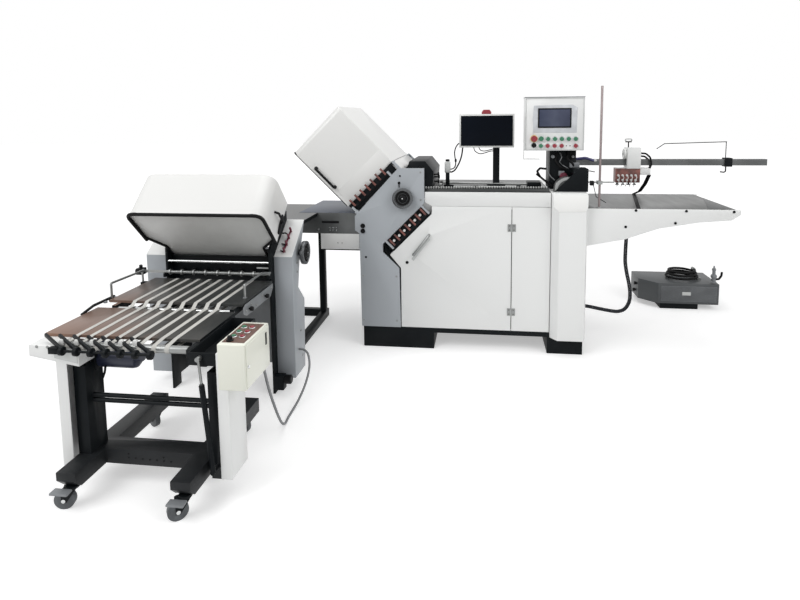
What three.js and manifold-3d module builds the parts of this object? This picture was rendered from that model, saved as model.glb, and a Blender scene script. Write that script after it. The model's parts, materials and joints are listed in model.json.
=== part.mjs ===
// A sheet folding line: flat feeder, register table, two buckle fold units at right angles, and a tape delivery.
// Every length is in millimetres. X runs along the line, Y away from the operator, Z up from the floor.
// The origin is the centre of the left base foot's underside.

import * as THREE from 'three';
import { mergeVertices } from 'three/addons/utils/BufferGeometryUtils.js';
import Module from 'manifold-3d';

const wasm = await Module();
wasm.setup();

// Values shared by all pieces.
const clear = 0.3;
const running = 1.5;
const overrun = 6;
const lap = 2;
const weld = 0.0001;
const quarter = Math.PI / 2;
const bankTilt = Math.PI / 4;

// Main unit: base, cabinet, fascia and register table.
const main = {
  front: -370, back: 370, tableHeight: 1008, footHeight: 138, footWidth: 456, trayDrop: 33, footInset: 4,
  rightFootX: 930, rightFootWidth: 215,
};
// Heights of the upper machine are measured from its table top.
const above = (rise) => main.tableHeight + rise;
const below = (drop) => main.tableHeight - drop;
const cabinet = {
  left: 20, right: 941, hingeX: 708, shoulderX: 217, shoulderDrop: 136, noseX: -49, noseDrop: 402, kneeDrop: 485,
  fasciaDrop: 87, wall: 4, skin: 18, seam: 2,
};
const table = { left: 90, thickness: 24, railWidth: 20, railHeight: 22, railLeft: 165, railSkew: 38, railInset: 40 };
const guard = {
  left: 34, peakLeft: 58, peakRight: 160, tip: 214, footLeft: 112, footRight: 206, low: 56, brow: 112, high: 179,
  front: -200, back: 330,
};
const door = { handleX: 104, handleDrop: 393, handleReach: 96, handleRise: 123, handleBar: 18, handleStand: 22 };
const column = { left: 945, right: 1156, reach: 52, chamferLeft: 39, chamferRight: 15, bottom: 105, slopeDrop: 108, wall: 4 };

// First fold unit: two side plates, roller bank tilted at 45 degrees, handwheel, plates, hood and levers.
const plate1 = {
  left: -236, neckX: -241, neckDrop: 265, noseX: -269, noseLowDrop: 246, noseHighDrop: 155, peakX: 8.7, topRise: 148,
  right: 172, throatDrop: 68, elbowX: -92.5, elbowHighDrop: 332, elbowLowDrop: 384, kneeX: 10.5, kneeDrop: 485, footX: 16,
  thickness: 14, proud: 8, coverDrop: 268, coverSkin: 5, tieBar: 24,
};
const bank1 = { x: 41.3, drop: 35, rollerRadius: 31.4, shaftRadius: 14, rollerEndGap: 6 };
const knuckle = { out: 3, back: 9, radius: 8, length: 44, leaf: 22, bite: 14, earRoot: 84 };
const hood1 = { low: -300, high: 110, near: 211, far: 700, halfWidth: 345, wall: 5, bevel: 30 };
const stack1 = {
  panThickness: 8, panInset: 8, panNear: 152, panNeckFar: 152, panShoulder: 26, neckHalf: 330, plateThickness: 14, plateNear: 158,
  plateLength: 430, plateHalf: 318, firstPlate: -225, platePitch: 115, plateCount: 3, railWidth: 26, railInset: 60,
};
const lower1 = {
  restTop: -94, length: 460, half: 315, thickness: 14, first: -250, pitch: 110, count: 3, railWidth: 26, railInset: 50,
  doorwayLow: -296, doorwayHigh: 28, doorwayHalf: 332, doorwayDepth: 26,
};
const levers1 = {
  count: 7, first: -262, pitch: 46.6, barThickness: 8, barWidth: 16, stickWidth: 12, stickLength: 52, stickThickness: 7,
  barOff: 12, upperBar: 178, lowerBar: -175, lug: 12, lugRoot: 62, lugSide: 8,
};
const handwheel = { rim: 64, rimWidth: 15, rimDepth: 22, dish: 12, hub: 17, hubReach: 44, bossReach: 26, knob: 13 };

// Feeder on the right: brackets, table, beam with separator head, suction drum and control cabinet.
const feeder = {
  tip: 2024, rootDrop: 323, archX: 1377, archDrop: 279, midX: 1573, midDrop: 210, farX: 1796, farDrop: 171, endX: 1975, endDrop: 156,
  noseDrop: 122, topDrop: 94.5, skin: 12, front: -360, back: 348, tieWidth: 40, firstTieInset: 144, secondTieInset: 200, tieDrop: 46,
};
const feedTable = { thickness: 18, right: 2000 };
const beam = { size: 40, rise: 139, end: 2306, y: -22.5 };
const tower = { left: 950, right: 1112, front: -176, back: 40, rise: 249.7 };
const triangle = { left: 968, peakX: 1123, peakRise: 152, shoulderX: 1167, shoulderRise: 140, thickness: 8, front: -308, stay: 34 };
const layRod = {
  x: 1229, y: -331, radius: 6, top: 730, foot: 15, footHeight: 8, clampHalf: 14, clampHeight: 20, armRise: 60,
  armRadius: 5, armRight: 1319,
};
const drum = { x: 1050, rise: 8, radius: 80, length: 88, shaft: 13, rearGap: 8, slotGap: 8 };
const panel = { left: 788, right: 1143, rise: 250, height: 324, front: -265, depth: 130 };
const panelButtons = {
  x: 843, stopRise: 323, selectorRise: 282, startX: 886, radius: 15, stopRadius: 19, travel: 5, stand: 8, stopStand: 20,
  collar: 1.5,
};
const head = {
  left: 1453, width: 84, lowRise: 120, topRise: 255, depth: 92, blockReach: 67, sideReach: 63, blockDrop: 92,
  blockDepth: 70, sideBoxHeight: 40, play: 0.6,
};
const screw = { inset: 15, radius: 4, rise: 36, barHalf: 19, barRadius: 4 };
const wire = { x: 2055, clampWidth: 42, clampWall: 7, play: 0.6, radius: 3, rise: 104, reach: 378, dip: 22, tipReach: 44 };
const hose = { radius: 11, sides: 10, drawnTop: 895.2 };
const monitor = {
  left: 373, right: 736, rise: 257, height: 222, depth: 40, y: -22, postX: 598, postWidth: 44, footWidth: 120,
  footHeight: 10,
};

// Transfer between the fold units.
const transfer = {
  left: -690, front: -203, back: 358, drop: 165, height: 140, skin: 8, boxLeft: -545, boxRight: -282, boxDrop: 411,
  boxDepth: 140,
};
const stand = { beam: 44, height: 56, left: -1140, right: -611, front: -780, back: 180, postTop: 702 };

// Second fold unit, turned a quarter turn, and its two housings.
const unit2 = { x: -866, y: -885, z: 737, rollerRadius: 27, shaftRadius: 13 };
const hood2 = { low: -80, high: 173, near: 225, far: 469, halfWidth: 358, wall: 5, bevel: 40 };
const stack2 = {
  panThickness: 8, panInset: 8, panNear: 64, panNeckFar: 165, panShoulder: 85, neckHalf: 268, plateThickness: 14, plateNear: 164,
  plateLength: 220, plateHalf: 262, firstPlate: -30, platePitch: 90, plateCount: 2, railWidth: 22, railInset: 40,
};
const frame2 = {
  left: -1152, right: -566, thickness: 12, front: -1050, back: -786, bankTop: 950, bankFrontZ: 786, bankBackY: -884,
  bottomBack: 60, footLength: 70, tableTop: 842, tableThickness: 22, tableBack: 165, coverY: -850, coverSkin: 6,
  coverBottom: 82, coverTop: 560, bearing: 20,
};
const housing = {
  width: 100, front: -1002, slopeBack: -785, top: 902, slopeFrontZ: 740, bottom: 71, waistTopY: -885, waistTopZ: 683,
  waistY: -915, waistZ: 551, heelY: -819, heelZ: 458, footY: -839, leftWidth: 141,
};
const levers2 = { count: 4, stick: 40, thickness: 8, bar: 8, barLow: 0.8, barHigh: 7, stickLow: 4.2, inset: 26, length: 150 };
const slitter = { y: -1070, z: 663, radius: 8, left: -1290, right: -588, collar: 15, collarWidth: 9, collars: 8, first: -1120 };

// Delivery: upper board on the second unit, lower deck on a wheeled base with a gas spring.
const board = {
  left: -1195, right: -547, top: 632, thickness: 12, back: -1085, front: -1457, railWidth: 18, railDrop: 32,
};
const midRoller = { y: -1491, z: 604, radius: 11, journal: 5 };
const deck = {
  left: -1205, right: -547, top: 620, thickness: 12, back: -1525, front: -1840, railWidth: 16, railDrop: 28, reach: -1915,
  sideRight: -441, sideFront: -1930, sideBack: -1560, sideSkin: 4, sideDrop: 50, motorLeft: -984, motorRight: -812,
  motorRadius: 34, motorY: -1800, motorDrop: 104,
};
const frontRoller = { y: -1893, z: 600, radius: 15, journal: 5 };
const fork = {
  count: 7, pitch: 60, armWidth: 9, armHeight: 12, front: [-1046, -1946, 604], rear: [-1160, -1887, 634], rodZ: 597,
  rodRadius: 5, disc: 17, discWidth: 14, blockLeft: -1100, blockWidth: 38, blockHeight: 24, journalDepth: 14,
};
const base = {
  leftBeam: -1044, rightBeam: -589, beamWidth: 78, top: 157, height: 64, front: -2026, back: -1395, crossFront: -1853,
  crossBack: -1770, chamfer: 30, columnTop: 520, columnWidth: 52, columnFront: -1900, columnBack: -1800,
};
const leg = { leftOuter: -1090, rightOuter: -395, width: 45, front: -1930, back: -1790, bottom: 112, skin: 4 };
const legHead = { reach: 110, thickness: 44, root: 78, overhang: 98 };
const tubes = { radius: 9, z: 386, drop: 21, y: -1862 };
const controlBox = { width: 103, front: -2005, back: -1780, bottom: 505, height: 171 };
const spring = {
  topX: -500, bottomX: -462, topZ: 590, bottomZ: 150, y: -1945, cylinder: 10, rod: 5, cylinderShare: 0.62, eye: 9,
  lugFront: -1930,
};
const castor = {
  wheelRadius: 38, wheelWidth: 26, hub: 9, cheek: 4, crown: 25, crownHeight: 9, trail: 30, frontInset: 34, rearInset: 40,
  cheekWidth: 34, pedalReach: 30,
};
const cable = { radius: 6, sides: 10 };

// Vacuum pump on the floor with its coiled hose.
const pump = {
  left: 1745, chamferX: 1862, right: 2300, front: 570, shoulderY: 690, back: 905, bottom: 40, top: 200, baseLeft: 1880,
  baseRight: 2155, baseBack: 860, baseWall: 6,
};
const coil = { x: 2075, y: 715, radius: 118, tube: 9, turns: 3, pitch: 22, spread: 9, ringSteps: 24, ringSides: 6, lift: -0.9 };

// Colours and finishes.
const finish = {
  white: new THREE.MeshStandardMaterial({ color: 0xeeeeec, roughness: 0.4, metalness: 0.05 }),
  cream: new THREE.MeshStandardMaterial({ color: 0xe9e7d8, roughness: 0.45, metalness: 0.05 }),
  grey: new THREE.MeshStandardMaterial({ color: 0x9aa0a6, roughness: 0.5, metalness: 0.1 }),
  paleGrey: new THREE.MeshStandardMaterial({ color: 0xc4c7c8, roughness: 0.5, metalness: 0.1 }),
  black: new THREE.MeshStandardMaterial({ color: 0x1b1e21, roughness: 0.6, metalness: 0.2 }),
  steel: new THREE.MeshStandardMaterial({ color: 0x8d9091, roughness: 0.35, metalness: 0.8 }),
  chrome: new THREE.MeshStandardMaterial({ color: 0xc9cccd, roughness: 0.15, metalness: 1 }),
  brown: new THREE.MeshStandardMaterial({ color: 0x7d655b, roughness: 0.5, metalness: 0.3 }),
  copper: new THREE.MeshStandardMaterial({ color: 0x8f4d45, roughness: 0.45, metalness: 0.5 }),
  rubber: new THREE.MeshStandardMaterial({ color: 0x26282a, roughness: 0.85, metalness: 0 }),
  red: new THREE.MeshStandardMaterial({ color: 0xc9402c, roughness: 0.4, metalness: 0 }),
  green: new THREE.MeshStandardMaterial({ color: 0x2f8a63, roughness: 0.4, metalness: 0 }),
  tyre: new THREE.MeshStandardMaterial({ color: 0x6f7377, roughness: 0.8, metalness: 0 }),
};

const line = new THREE.Group();

// Names a sub-part, gives it its finish and hangs it in a group.
function add(group, name, geometry, material) {
  const mesh = new THREE.Mesh(geometry, material.clone());
  mesh.name = name;
  group.add(mesh);
  return mesh;
}

// A block between two corners, given as low and high along X, Y and Z.
function block(x0, x1, y0, y1, z0, z1) {
  const geometry = new THREE.BoxGeometry(x1 - x0, y1 - y0, z1 - z0);
  geometry.translate((x0 + x1) / 2, (y0 + y1) / 2, (z0 + z1) / 2);
  return geometry;
}

function extrude(points, depth) {
  const shape = new THREE.Shape(points.map(([a, b]) => new THREE.Vector2(a, b)));
  return new THREE.ExtrudeGeometry(shape, { depth, bevelEnabled: false });
}

// An (x, z) outline extruded from y0 to y1.
function slabY(points, y0, y1) {
  const geometry = extrude(points, y1 - y0);
  geometry.rotateX(quarter);
  geometry.translate(0, y1, 0);
  return geometry;
}

// A (y, z) outline extruded from x0 to x1.
function slabX(points, x0, x1) {
  const geometry = extrude(points, x1 - x0);
  const turn = new THREE.Matrix4();
  turn.makeBasis(new THREE.Vector3(0, 1, 0), new THREE.Vector3(0, 0, 1), new THREE.Vector3(1, 0, 0));
  geometry.applyMatrix4(turn);
  geometry.translate(x0, 0, 0);
  return geometry;
}

// An (x, y) outline extruded from z0 to z1.
function slabZ(points, z0, z1) {
  const geometry = extrude(points, z1 - z0);
  geometry.translate(0, 0, z0);
  return geometry;
}

// A round bar between two points.
function bar(from, to, radius, sides = 16) {
  const a = new THREE.Vector3(...from);
  const b = new THREE.Vector3(...to);
  const along = b.clone().sub(a);
  const geometry = new THREE.CylinderGeometry(radius, radius, along.length(), sides);
  const turn = new THREE.Quaternion().setFromUnitVectors(new THREE.Vector3(0, 1, 0), along.normalize());
  geometry.applyQuaternion(turn);
  geometry.translate(...a.add(b).multiplyScalar(1 / 2).toArray());
  return geometry;
}

// A turned solid: the profile holds [radius, height] pairs, and height runs from a point along a direction.
function turned(profile, from, direction, sides = 24) {
  const geometry = new THREE.LatheGeometry(profile.map(([r, h]) => new THREE.Vector2(r, h)), sides);
  const turn = new THREE.Quaternion().setFromUnitVectors(new THREE.Vector3(0, 1, 0), new THREE.Vector3(...direction));
  geometry.applyQuaternion(turn);
  geometry.translate(...from);
  return geometry;
}

function toSolid(geometry) {
  const bare = geometry.clone();
  bare.deleteAttribute('normal');
  bare.deleteAttribute('uv');
  const merged = mergeVertices(bare, weld);
  const vertProperties = new Float32Array(merged.attributes.position.array);
  const triVerts = new Uint32Array(merged.index.array);
  return new wasm.Manifold(new wasm.Mesh({ numProp: 3, vertProperties, triVerts }));
}

function toGeometry(solid) {
  const mesh = solid.getMesh();
  const geometry = new THREE.BufferGeometry();
  geometry.setAttribute('position', new THREE.BufferAttribute(new Float32Array(mesh.vertProperties), 3));
  geometry.setIndex(new THREE.BufferAttribute(new Uint32Array(mesh.triVerts), 1));
  return geometry;
}

const join = (first, ...rest) => toGeometry(rest.reduce((sum, piece) => sum.add(toSolid(piece)), toSolid(first)));
const cut = (first, ...rest) => toGeometry(rest.reduce((sum, piece) => sum.subtract(toSolid(piece)), toSolid(first)));
const common = (first, second) => toGeometry(toSolid(first).intersect(toSolid(second)));

// Moves every side of a closed outline inwards by the same distance.
function inset(points, distance) {
  const area = points.reduce((sum, [x, y], i) => {
    const [u, v] = points[(i + 1) % points.length];
    return sum + x * v - u * y;
  }, 0);
  const inward = Math.sign(area) * distance;
  const sides = points.map(([x, y], i) => {
    const [u, v] = points[(i + 1) % points.length];
    const length = Math.hypot(u - x, v - y);
    const normal = [-(v - y) / length, (u - x) / length];
    return { normal, offset: normal[0] * x + normal[1] * y + inward };
  });
  return sides.map((side, i) => {
    const last = sides[(i + sides.length - 1) % sides.length];
    const det = last.normal[0] * side.normal[1] - last.normal[1] * side.normal[0];
    const x = (last.offset * side.normal[1] - side.offset * last.normal[1]) / det;
    const y = (last.normal[0] * side.offset - side.normal[0] * last.offset) / det;
    return [x, y];
  });
}

// Base: two feet and the tray between them.
const footLeft = -main.footWidth / 2;
const footRight = main.footWidth / 2;
const footTop = main.footHeight;
const trayBottom = main.footHeight - main.trayDrop;
const rightFootEnd = main.rightFootX + main.rightFootWidth;
const rightFootTop = column.bottom - clear;
const trayEnd = (cabinet.right + column.left) / 2;
const baseOutline = [
  [footLeft, 0], [footRight, 0], [footRight, trayBottom], [main.rightFootX, trayBottom], [main.rightFootX, 0],
  [rightFootEnd, 0], [rightFootEnd, rightFootTop], [trayEnd, rightFootTop], [trayEnd, footTop], [footLeft, footTop],
];
const baseFront = main.front + main.footInset;
const baseBack = main.back - main.footInset;
add(line, 'machine_base', slabY(baseOutline, baseFront, baseBack), finish.black);

// Cabinet: an open-fronted shell, the fixed front panel, the fascia and the hinged door.
const floorOfCabinet = footTop + clear;
const tableBottom = main.tableHeight - table.thickness;
const shellTop = tableBottom - clear;
const skinBack = main.front + cabinet.skin;
const shellOutline = [
  [cabinet.left, floorOfCabinet], [cabinet.right, floorOfCabinet], [cabinet.right, shellTop],
  [cabinet.shoulderX, shellTop], [cabinet.shoulderX, below(cabinet.shoulderDrop)], [cabinet.noseX, below(cabinet.noseDrop)],
  [cabinet.left, below(cabinet.kneeDrop)],
];
const shellBack = main.back - main.footInset;
const shellCore = slabY(inset(shellOutline, cabinet.wall), skinBack - overrun, shellBack - cabinet.wall);
const panelLeft = cabinet.hingeX + cabinet.seam;
const fixedTop = below(cabinet.fasciaDrop) - cabinet.seam;
const fixedPanel = block(panelLeft, cabinet.right, main.front, skinBack + cabinet.wall, floorOfCabinet, fixedTop);
const toBank1 = new THREE.Group();
toBank1.position.set(bank1.x, 0, below(bank1.drop));
toBank1.rotation.y = -bankTilt;
toBank1.updateMatrix();
// The doorway in the sloping wall, through which the lower fold plates reach the rollers.
const noseQ = (below(cabinet.noseDrop) - below(bank1.drop) - cabinet.noseX + bank1.x) * Math.SQRT1_2;
const doorway = block(lower1.doorwayLow, lower1.doorwayHigh, -lower1.doorwayHalf, lower1.doorwayHalf,
  noseQ - lower1.doorwayDepth / 2, noseQ + lower1.doorwayDepth / 2);
doorway.applyMatrix4(toBank1.matrix);
const cabinetShell = join(cut(slabY(shellOutline, skinBack + clear, shellBack), shellCore, doorway), fixedPanel);
add(line, 'cabinet_shell', cabinetShell, finish.white);

const fasciaOutline = [
  [cabinet.shoulderX, below(cabinet.fasciaDrop)], [cabinet.right, below(cabinet.fasciaDrop)], [cabinet.right, main.tableHeight],
  [plate1.right + cabinet.seam, main.tableHeight], [plate1.right + cabinet.seam, below(cabinet.fasciaDrop) + table.thickness],
];
add(line, 'front_fascia', slabY(fasciaOutline, main.front, skinBack), finish.white);

const doorOutline = inset([
  [cabinet.left, floorOfCabinet], [cabinet.hingeX, floorOfCabinet], [cabinet.hingeX, below(cabinet.fasciaDrop)],
  [cabinet.shoulderX, below(cabinet.fasciaDrop)], [cabinet.shoulderX, below(cabinet.shoulderDrop)], [cabinet.noseX, below(cabinet.noseDrop)],
  [cabinet.left, below(cabinet.kneeDrop)],
], cabinet.seam / 2);
const doorPanel = slabY(doorOutline, main.front, skinBack);
const handleStart = [door.handleX, below(door.handleDrop)];
const handleEnd = [door.handleX + door.handleReach, below(door.handleDrop) + door.handleRise];
const gripY = main.front - door.handleStand;
const grip = bar([handleStart[0], gripY, handleStart[1]], [handleEnd[0], gripY, handleEnd[1]], door.handleBar / 2, 10);
const gripPost = ([x, z]) => bar([x, gripY, z], [x, main.front + lap, z], door.handleBar / 2, 10);
add(line, 'cabinet_door', join(doorPanel, grip, gripPost(handleStart), gripPost(handleEnd)), finish.white);

// Register table with its skewed ball rail and the infeed guard over its left end.
const railRight = cabinet.right - lap;
const railY = skinBack + table.railInset;
const rail = slabZ([
  [table.railLeft, railY - table.railSkew / 2], [railRight, railY + table.railSkew / 2],
  [railRight, railY + table.railSkew / 2 + table.railWidth], [table.railLeft, railY - table.railSkew / 2 + table.railWidth],
], main.tableHeight - lap, main.tableHeight + table.railHeight);
const guardOutline = [
  [guard.footLeft, -lap], [guard.footRight, -lap], [guard.tip, guard.brow], [guard.peakRight, guard.high],
  [guard.peakLeft, guard.high], [guard.left, guard.brow], [guard.footLeft, guard.low],
].map(([x, z]) => [x, main.tableHeight + z]);
const tableBack = -main.front - plate1.thickness + plate1.proud - clear;
const tableSlab = block(table.left, cabinet.right, skinBack + clear, tableBack, tableBottom, main.tableHeight);
add(line, 'register_table', join(tableSlab, rail, slabY(guardOutline, guard.front, guard.back)), finish.steel);

// Corner column: an open-bottomed cover with a sloping top, slotted for the suction drum.
const columnOutline = [
  [column.left, main.front], [column.left + column.chamferLeft, main.front - column.reach],
  [column.right - column.chamferRight, main.front - column.reach], [column.right, main.front],
  [column.right, main.back], [column.left, main.back],
];
const columnTop = main.tableHeight;
const slopeLine = [
  [main.front - column.reach - overrun, columnTop - column.slopeDrop],
  [main.front - column.reach, columnTop - column.slopeDrop], [main.front, columnTop],
  [main.front, columnTop + overrun], [main.front - column.reach - overrun, columnTop + overrun],
];
const columnWedge = slabX(slopeLine, column.left - overrun, column.right + overrun);
const columnShell = cut(slabZ(columnOutline, column.bottom, columnTop), columnWedge);
const coreTop = columnTop - column.slopeDrop - column.wall;
const columnCore = slabZ(inset(columnOutline, column.wall), column.bottom - overrun, coreTop);
const drumFront = triangle.front + triangle.thickness + clear;
const slotRadius = drum.radius + drum.slotGap;
const drumBack = drumFront + drum.length;
const slotTop = columnTop + overrun;
const slot = block(drum.x - slotRadius, drum.x + slotRadius, drumFront, tower.front, coreTop - overrun, slotTop);
add(line, 'corner_column', cut(columnShell, columnCore, slot), finish.white);

// First fold unit's frame: two side plates tied by the left cover and a tie bar.
const plateOutline = [
  [plate1.left, floorOfCabinet], [plate1.footX, floorOfCabinet], [plate1.kneeX, below(plate1.kneeDrop)],
  [plate1.elbowX, below(plate1.elbowLowDrop)], [plate1.elbowX, below(plate1.elbowHighDrop)], [plate1.right, below(plate1.throatDrop)],
  [plate1.right, above(plate1.topRise)], [plate1.peakX, above(plate1.topRise)], [plate1.noseX, below(plate1.noseHighDrop)],
  [plate1.noseX, below(plate1.noseLowDrop)], [plate1.neckX, below(plate1.neckDrop)],
];
const plateFront = main.front - plate1.proud;
const plateInner = plateFront + plate1.thickness;
const rearInner = -plateInner;
const frontPlate = slabY(plateOutline, plateFront, plateInner);
const rearPlate = slabY(plateOutline, rearInner, -plateFront);
const leftCover = block(plate1.left, plate1.left + plate1.coverSkin, plateInner - lap, rearInner + lap,
  floorOfCabinet, below(plate1.coverDrop));
const tieLeft = plate1.footX - plate1.tieBar - clear;
const tieBar = block(tieLeft, tieLeft + plate1.tieBar, plateInner - lap, rearInner + lap,
  floorOfCabinet + plate1.tieBar, floorOfCabinet + plate1.tieBar * 2);
// Hinge halves at a hood's upper inner corner: the ear on the frame, and the leaf on the hood.
function hinge(hood, plateFace, plateOuter, reach) {
  const side = Math.sign(plateOuter);
  const p = hood.high + knuckle.out;
  const q = hood.near - knuckle.back;
  const span = (from, to) => [Math.min(from, to), Math.max(from, to)];
  const [earLow, earHigh] = span(plateFace, plateOuter);
  const ear = block(p - knuckle.radius, p + knuckle.radius, earLow, earHigh, q - knuckle.earRoot, q);
  const earPin = bar([p, plateOuter, q], [p, reach + side * clear, q], knuckle.radius, 16);
  const leafEnd = reach - side * knuckle.length;
  const hoodPin = bar([p, reach, q], [p, leafEnd, q], knuckle.radius, 16);
  const [leafLow, leafHigh] = span(leafEnd, leafEnd + side * knuckle.leaf);
  const leaf = block(hood.high - hood.wall, hood.high, leafLow, leafHigh, q - knuckle.radius / 2, q + knuckle.bite);
  return { frame: [ear, earPin], hood: [hoodPin, leaf] };
}

// The parts of the frame laid in the bank's own axes, then turned into place.
const levers1Low = levers1.first - levers1.barThickness;
const levers1High = levers1.first + levers1.pitch * (levers1.count - 1) + levers1.stickWidth + levers1.barThickness;
const leverY = plateFront + levers1.barOff;
const leverLug = (low, q) => {
  const root = q - Math.sign(q) * levers1.lugRoot;
  const tip = q + Math.sign(q) * levers1.lugSide;
  return block(low, low + levers1.lug, plateFront, leverY + levers1.barThickness, Math.min(root, tip), Math.max(root, tip));
};
const lugLow = levers1Low - clear - levers1.lug;
const lugHigh = levers1High + clear;
const restBar = block(hood1.low + stack1.panInset, hood1.low + stack1.panInset + plate1.tieBar, plateInner - lap,
  rearInner + lap, stack1.panNear - clear - plate1.tieBar, stack1.panNear - clear);
const lowerRest = block(lower1.first + lower1.thickness - plate1.tieBar, lower1.first + lower1.thickness, plateInner - lap,
  rearInner + lap, lower1.restTop - plate1.tieBar, lower1.restTop);
const hinges1 = [
  hinge(hood1, plateInner, plateFront, -hood1.halfWidth + knuckle.radius), hinge(hood1, rearInner, -plateFront,
    hood1.halfWidth - knuckle.radius),
];
const bankParts1 = [
  restBar, lowerRest, leverLug(lugLow, levers1.upperBar), leverLug(lugHigh, levers1.upperBar),
  leverLug(lugLow, levers1.lowerBar), leverLug(lugHigh, levers1.lowerBar), ...hinges1.flatMap((h) => h.frame),
];
bankParts1.forEach((piece) => piece.applyMatrix4(toBank1.matrix));
add(line, 'fold_frame_1', join(frontPlate, rearPlate, leftCover, tieBar, ...bankParts1), finish.grey);

// A handwheel on its roller shaft, turned about the direction it points in.
function wheelOnRoller(start, rollerStart, rollerEnd, end, unitRoller, shaft) {
  const rimFront = start - handwheel.hubReach;
  const rimBack = rimFront + handwheel.rimDepth;
  const dishFront = rimFront + handwheel.dish;
  const rimInner = handwheel.rim - handwheel.rimWidth;
  return [
    [0, dishFront - handwheel.knob], [handwheel.hub, dishFront - handwheel.knob], [handwheel.hub, dishFront],
    [rimInner, dishFront], [rimInner, rimFront], [handwheel.rim, rimFront], [handwheel.rim, rimBack],
    [handwheel.hub, rimBack], [handwheel.hub, start - clear], [shaft, start - clear], [shaft, rollerStart],
    [unitRoller, rollerStart], [unitRoller, rollerEnd], [shaft, rollerEnd], [shaft, end], [0, end],
  ];
}

// Rollers of the first unit: the handwheel's roller and its mate down the bank.
const shaftHole1 = bank1.shaftRadius + clear;
const roller1Front = plateInner + bank1.rollerEndGap;
const roller1Back = rearInner - bank1.rollerEndGap;
const wheel1Profile = wheelOnRoller(plateFront, roller1Front, roller1Back, rearInner - clear, bank1.rollerRadius, bank1.shaftRadius);
add(line, 'handwheel_1', turned(wheel1Profile, [bank1.x, 0, below(bank1.drop)], [0, 1, 0]), finish.steel);
const mateStep = (bank1.rollerRadius * 2 + clear) * Math.SQRT1_2;
const mate1 = [bank1.x - mateStep, below(bank1.drop) - mateStep];
const mateProfile = (radius, shaft, front, back, endGap) => [
  [0, front], [shaft, front], [shaft, front + endGap], [radius, front + endGap], [radius, back - endGap],
  [shaft, back - endGap], [shaft, back], [0, back],
];
const mate1Profile = mateProfile(bank1.rollerRadius, bank1.shaftRadius, plateInner + clear, rearInner - clear, bank1.rollerEndGap);
add(line, 'fold_roller_1', turned(mate1Profile, [mate1[0], 0, mate1[1]], [0, 1, 0]), finish.steel);
// The front plate is drilled for the handwheel's shaft.
const shaftDrill1 = bar([bank1.x, plateFront - overrun, below(bank1.drop)], [bank1.x, plateInner + overrun, below(bank1.drop)], shaftHole1, 24);
const frameMesh1 = line.getObjectByName('fold_frame_1');
frameMesh1.geometry = cut(frameMesh1.geometry, shaftDrill1);

// Hood shell in the bank's axes: open towards the roller bank and along its lower rim.
function hoodShell(hood) {
  const body = (grow) => {
    const half = hood.halfWidth - grow;
    const high = hood.high - grow;
    const far = hood.far - grow;
    const low = hood.low - (grow ? overrun : 0);
    const near = hood.near - (grow ? overrun : 0);
    const across = [
      [low, -half], [high - hood.bevel, -half], [high, -half + hood.bevel], [high, half - hood.bevel],
      [high - hood.bevel, half], [low, half],
    ];
    const along = [
      [-half, near], [half, near], [half, far - hood.bevel], [half - hood.bevel, far], [-half + hood.bevel, far],
      [-half, far - hood.bevel],
    ];
    return common(slabZ(across, near, far), slabX(along, low, high));
  };
  return cut(body(0), body(hood.wall));
}

// Fold plates and the pan that closes the hood, joined by two rails.
function plateStack(stack, hood) {
  const panLow = hood.low + stack.panInset;
  const panHalf = hood.halfWidth - hood.wall - stack.panInset;
  const panFar = hood.far - hood.wall - stack.panInset;
  const neckEnd = Math.max(stack.panNeckFar, stack.panNear + lap);
  const panOutline = [
    [-stack.neckHalf, stack.panNear], [stack.neckHalf, stack.panNear], [stack.neckHalf, neckEnd],
    [panHalf, neckEnd + stack.panShoulder], [panHalf, panFar - hood.bevel], [panHalf - hood.bevel, panFar],
    [hood.bevel - panHalf, panFar], [-panHalf, panFar - hood.bevel], [-panHalf, neckEnd + stack.panShoulder],
    [-stack.neckHalf, neckEnd],
  ];
  const pan = slabX(panOutline, panLow, panLow + stack.panThickness);
  const plates = Array.from({ length: stack.plateCount }, (_, i) => {
    const low = stack.firstPlate + i * stack.platePitch;
    return block(low, low + stack.plateThickness, -stack.plateHalf, stack.plateHalf, stack.plateNear,
      stack.plateNear + stack.plateLength);
  });
  const lastPlate = stack.firstPlate + (stack.plateCount - 1) * stack.platePitch + lap;
  const railFar = stack.plateNear + stack.plateLength - stack.railInset;
  const rails = [-1, 1].map((side) => {
    const outer = side * stack.plateHalf;
    const inner = side * (stack.plateHalf - stack.railWidth);
    return block(panLow + lap, lastPlate, Math.min(outer, inner), Math.max(outer, inner), railFar - stack.railWidth, railFar);
  });
  return join(pan, ...plates, ...rails);
}

add(toBank1, 'noise_hood_1', join(hoodShell(hood1), ...hinges1.flatMap((h) => h.hood)), finish.white);
add(toBank1, 'upper_fold_plates_1', plateStack(stack1, hood1), finish.paleGrey);

// Lower fold plates hang under the bank inside the cabinet, joined by two rails.
const lowerNear = lower1.restTop - plate1.tieBar - clear;
const lowerSlabs = Array.from({ length: lower1.count }, (_, i) => {
  const low = lower1.first + i * lower1.pitch;
  return block(low, low + lower1.thickness, -lower1.half, lower1.half, lowerNear - lower1.length, lowerNear);
});
const lowerEnd = lower1.first + (lower1.count - 1) * lower1.pitch + lap;
const lowerRails = [-1, 1].map((side) => {
  const outer = side * lower1.half;
  const inner = side * (lower1.half - lower1.railWidth);
  const low = lowerNear - lower1.length + lower1.railInset;
  return block(lower1.first + lap, lowerEnd, Math.min(outer, inner), Math.max(outer, inner), low, low + lower1.railWidth);
});
add(toBank1, 'lower_fold_plates_1', join(lowerSlabs[0], ...lowerSlabs.slice(1), ...lowerRails), finish.paleGrey);

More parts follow.
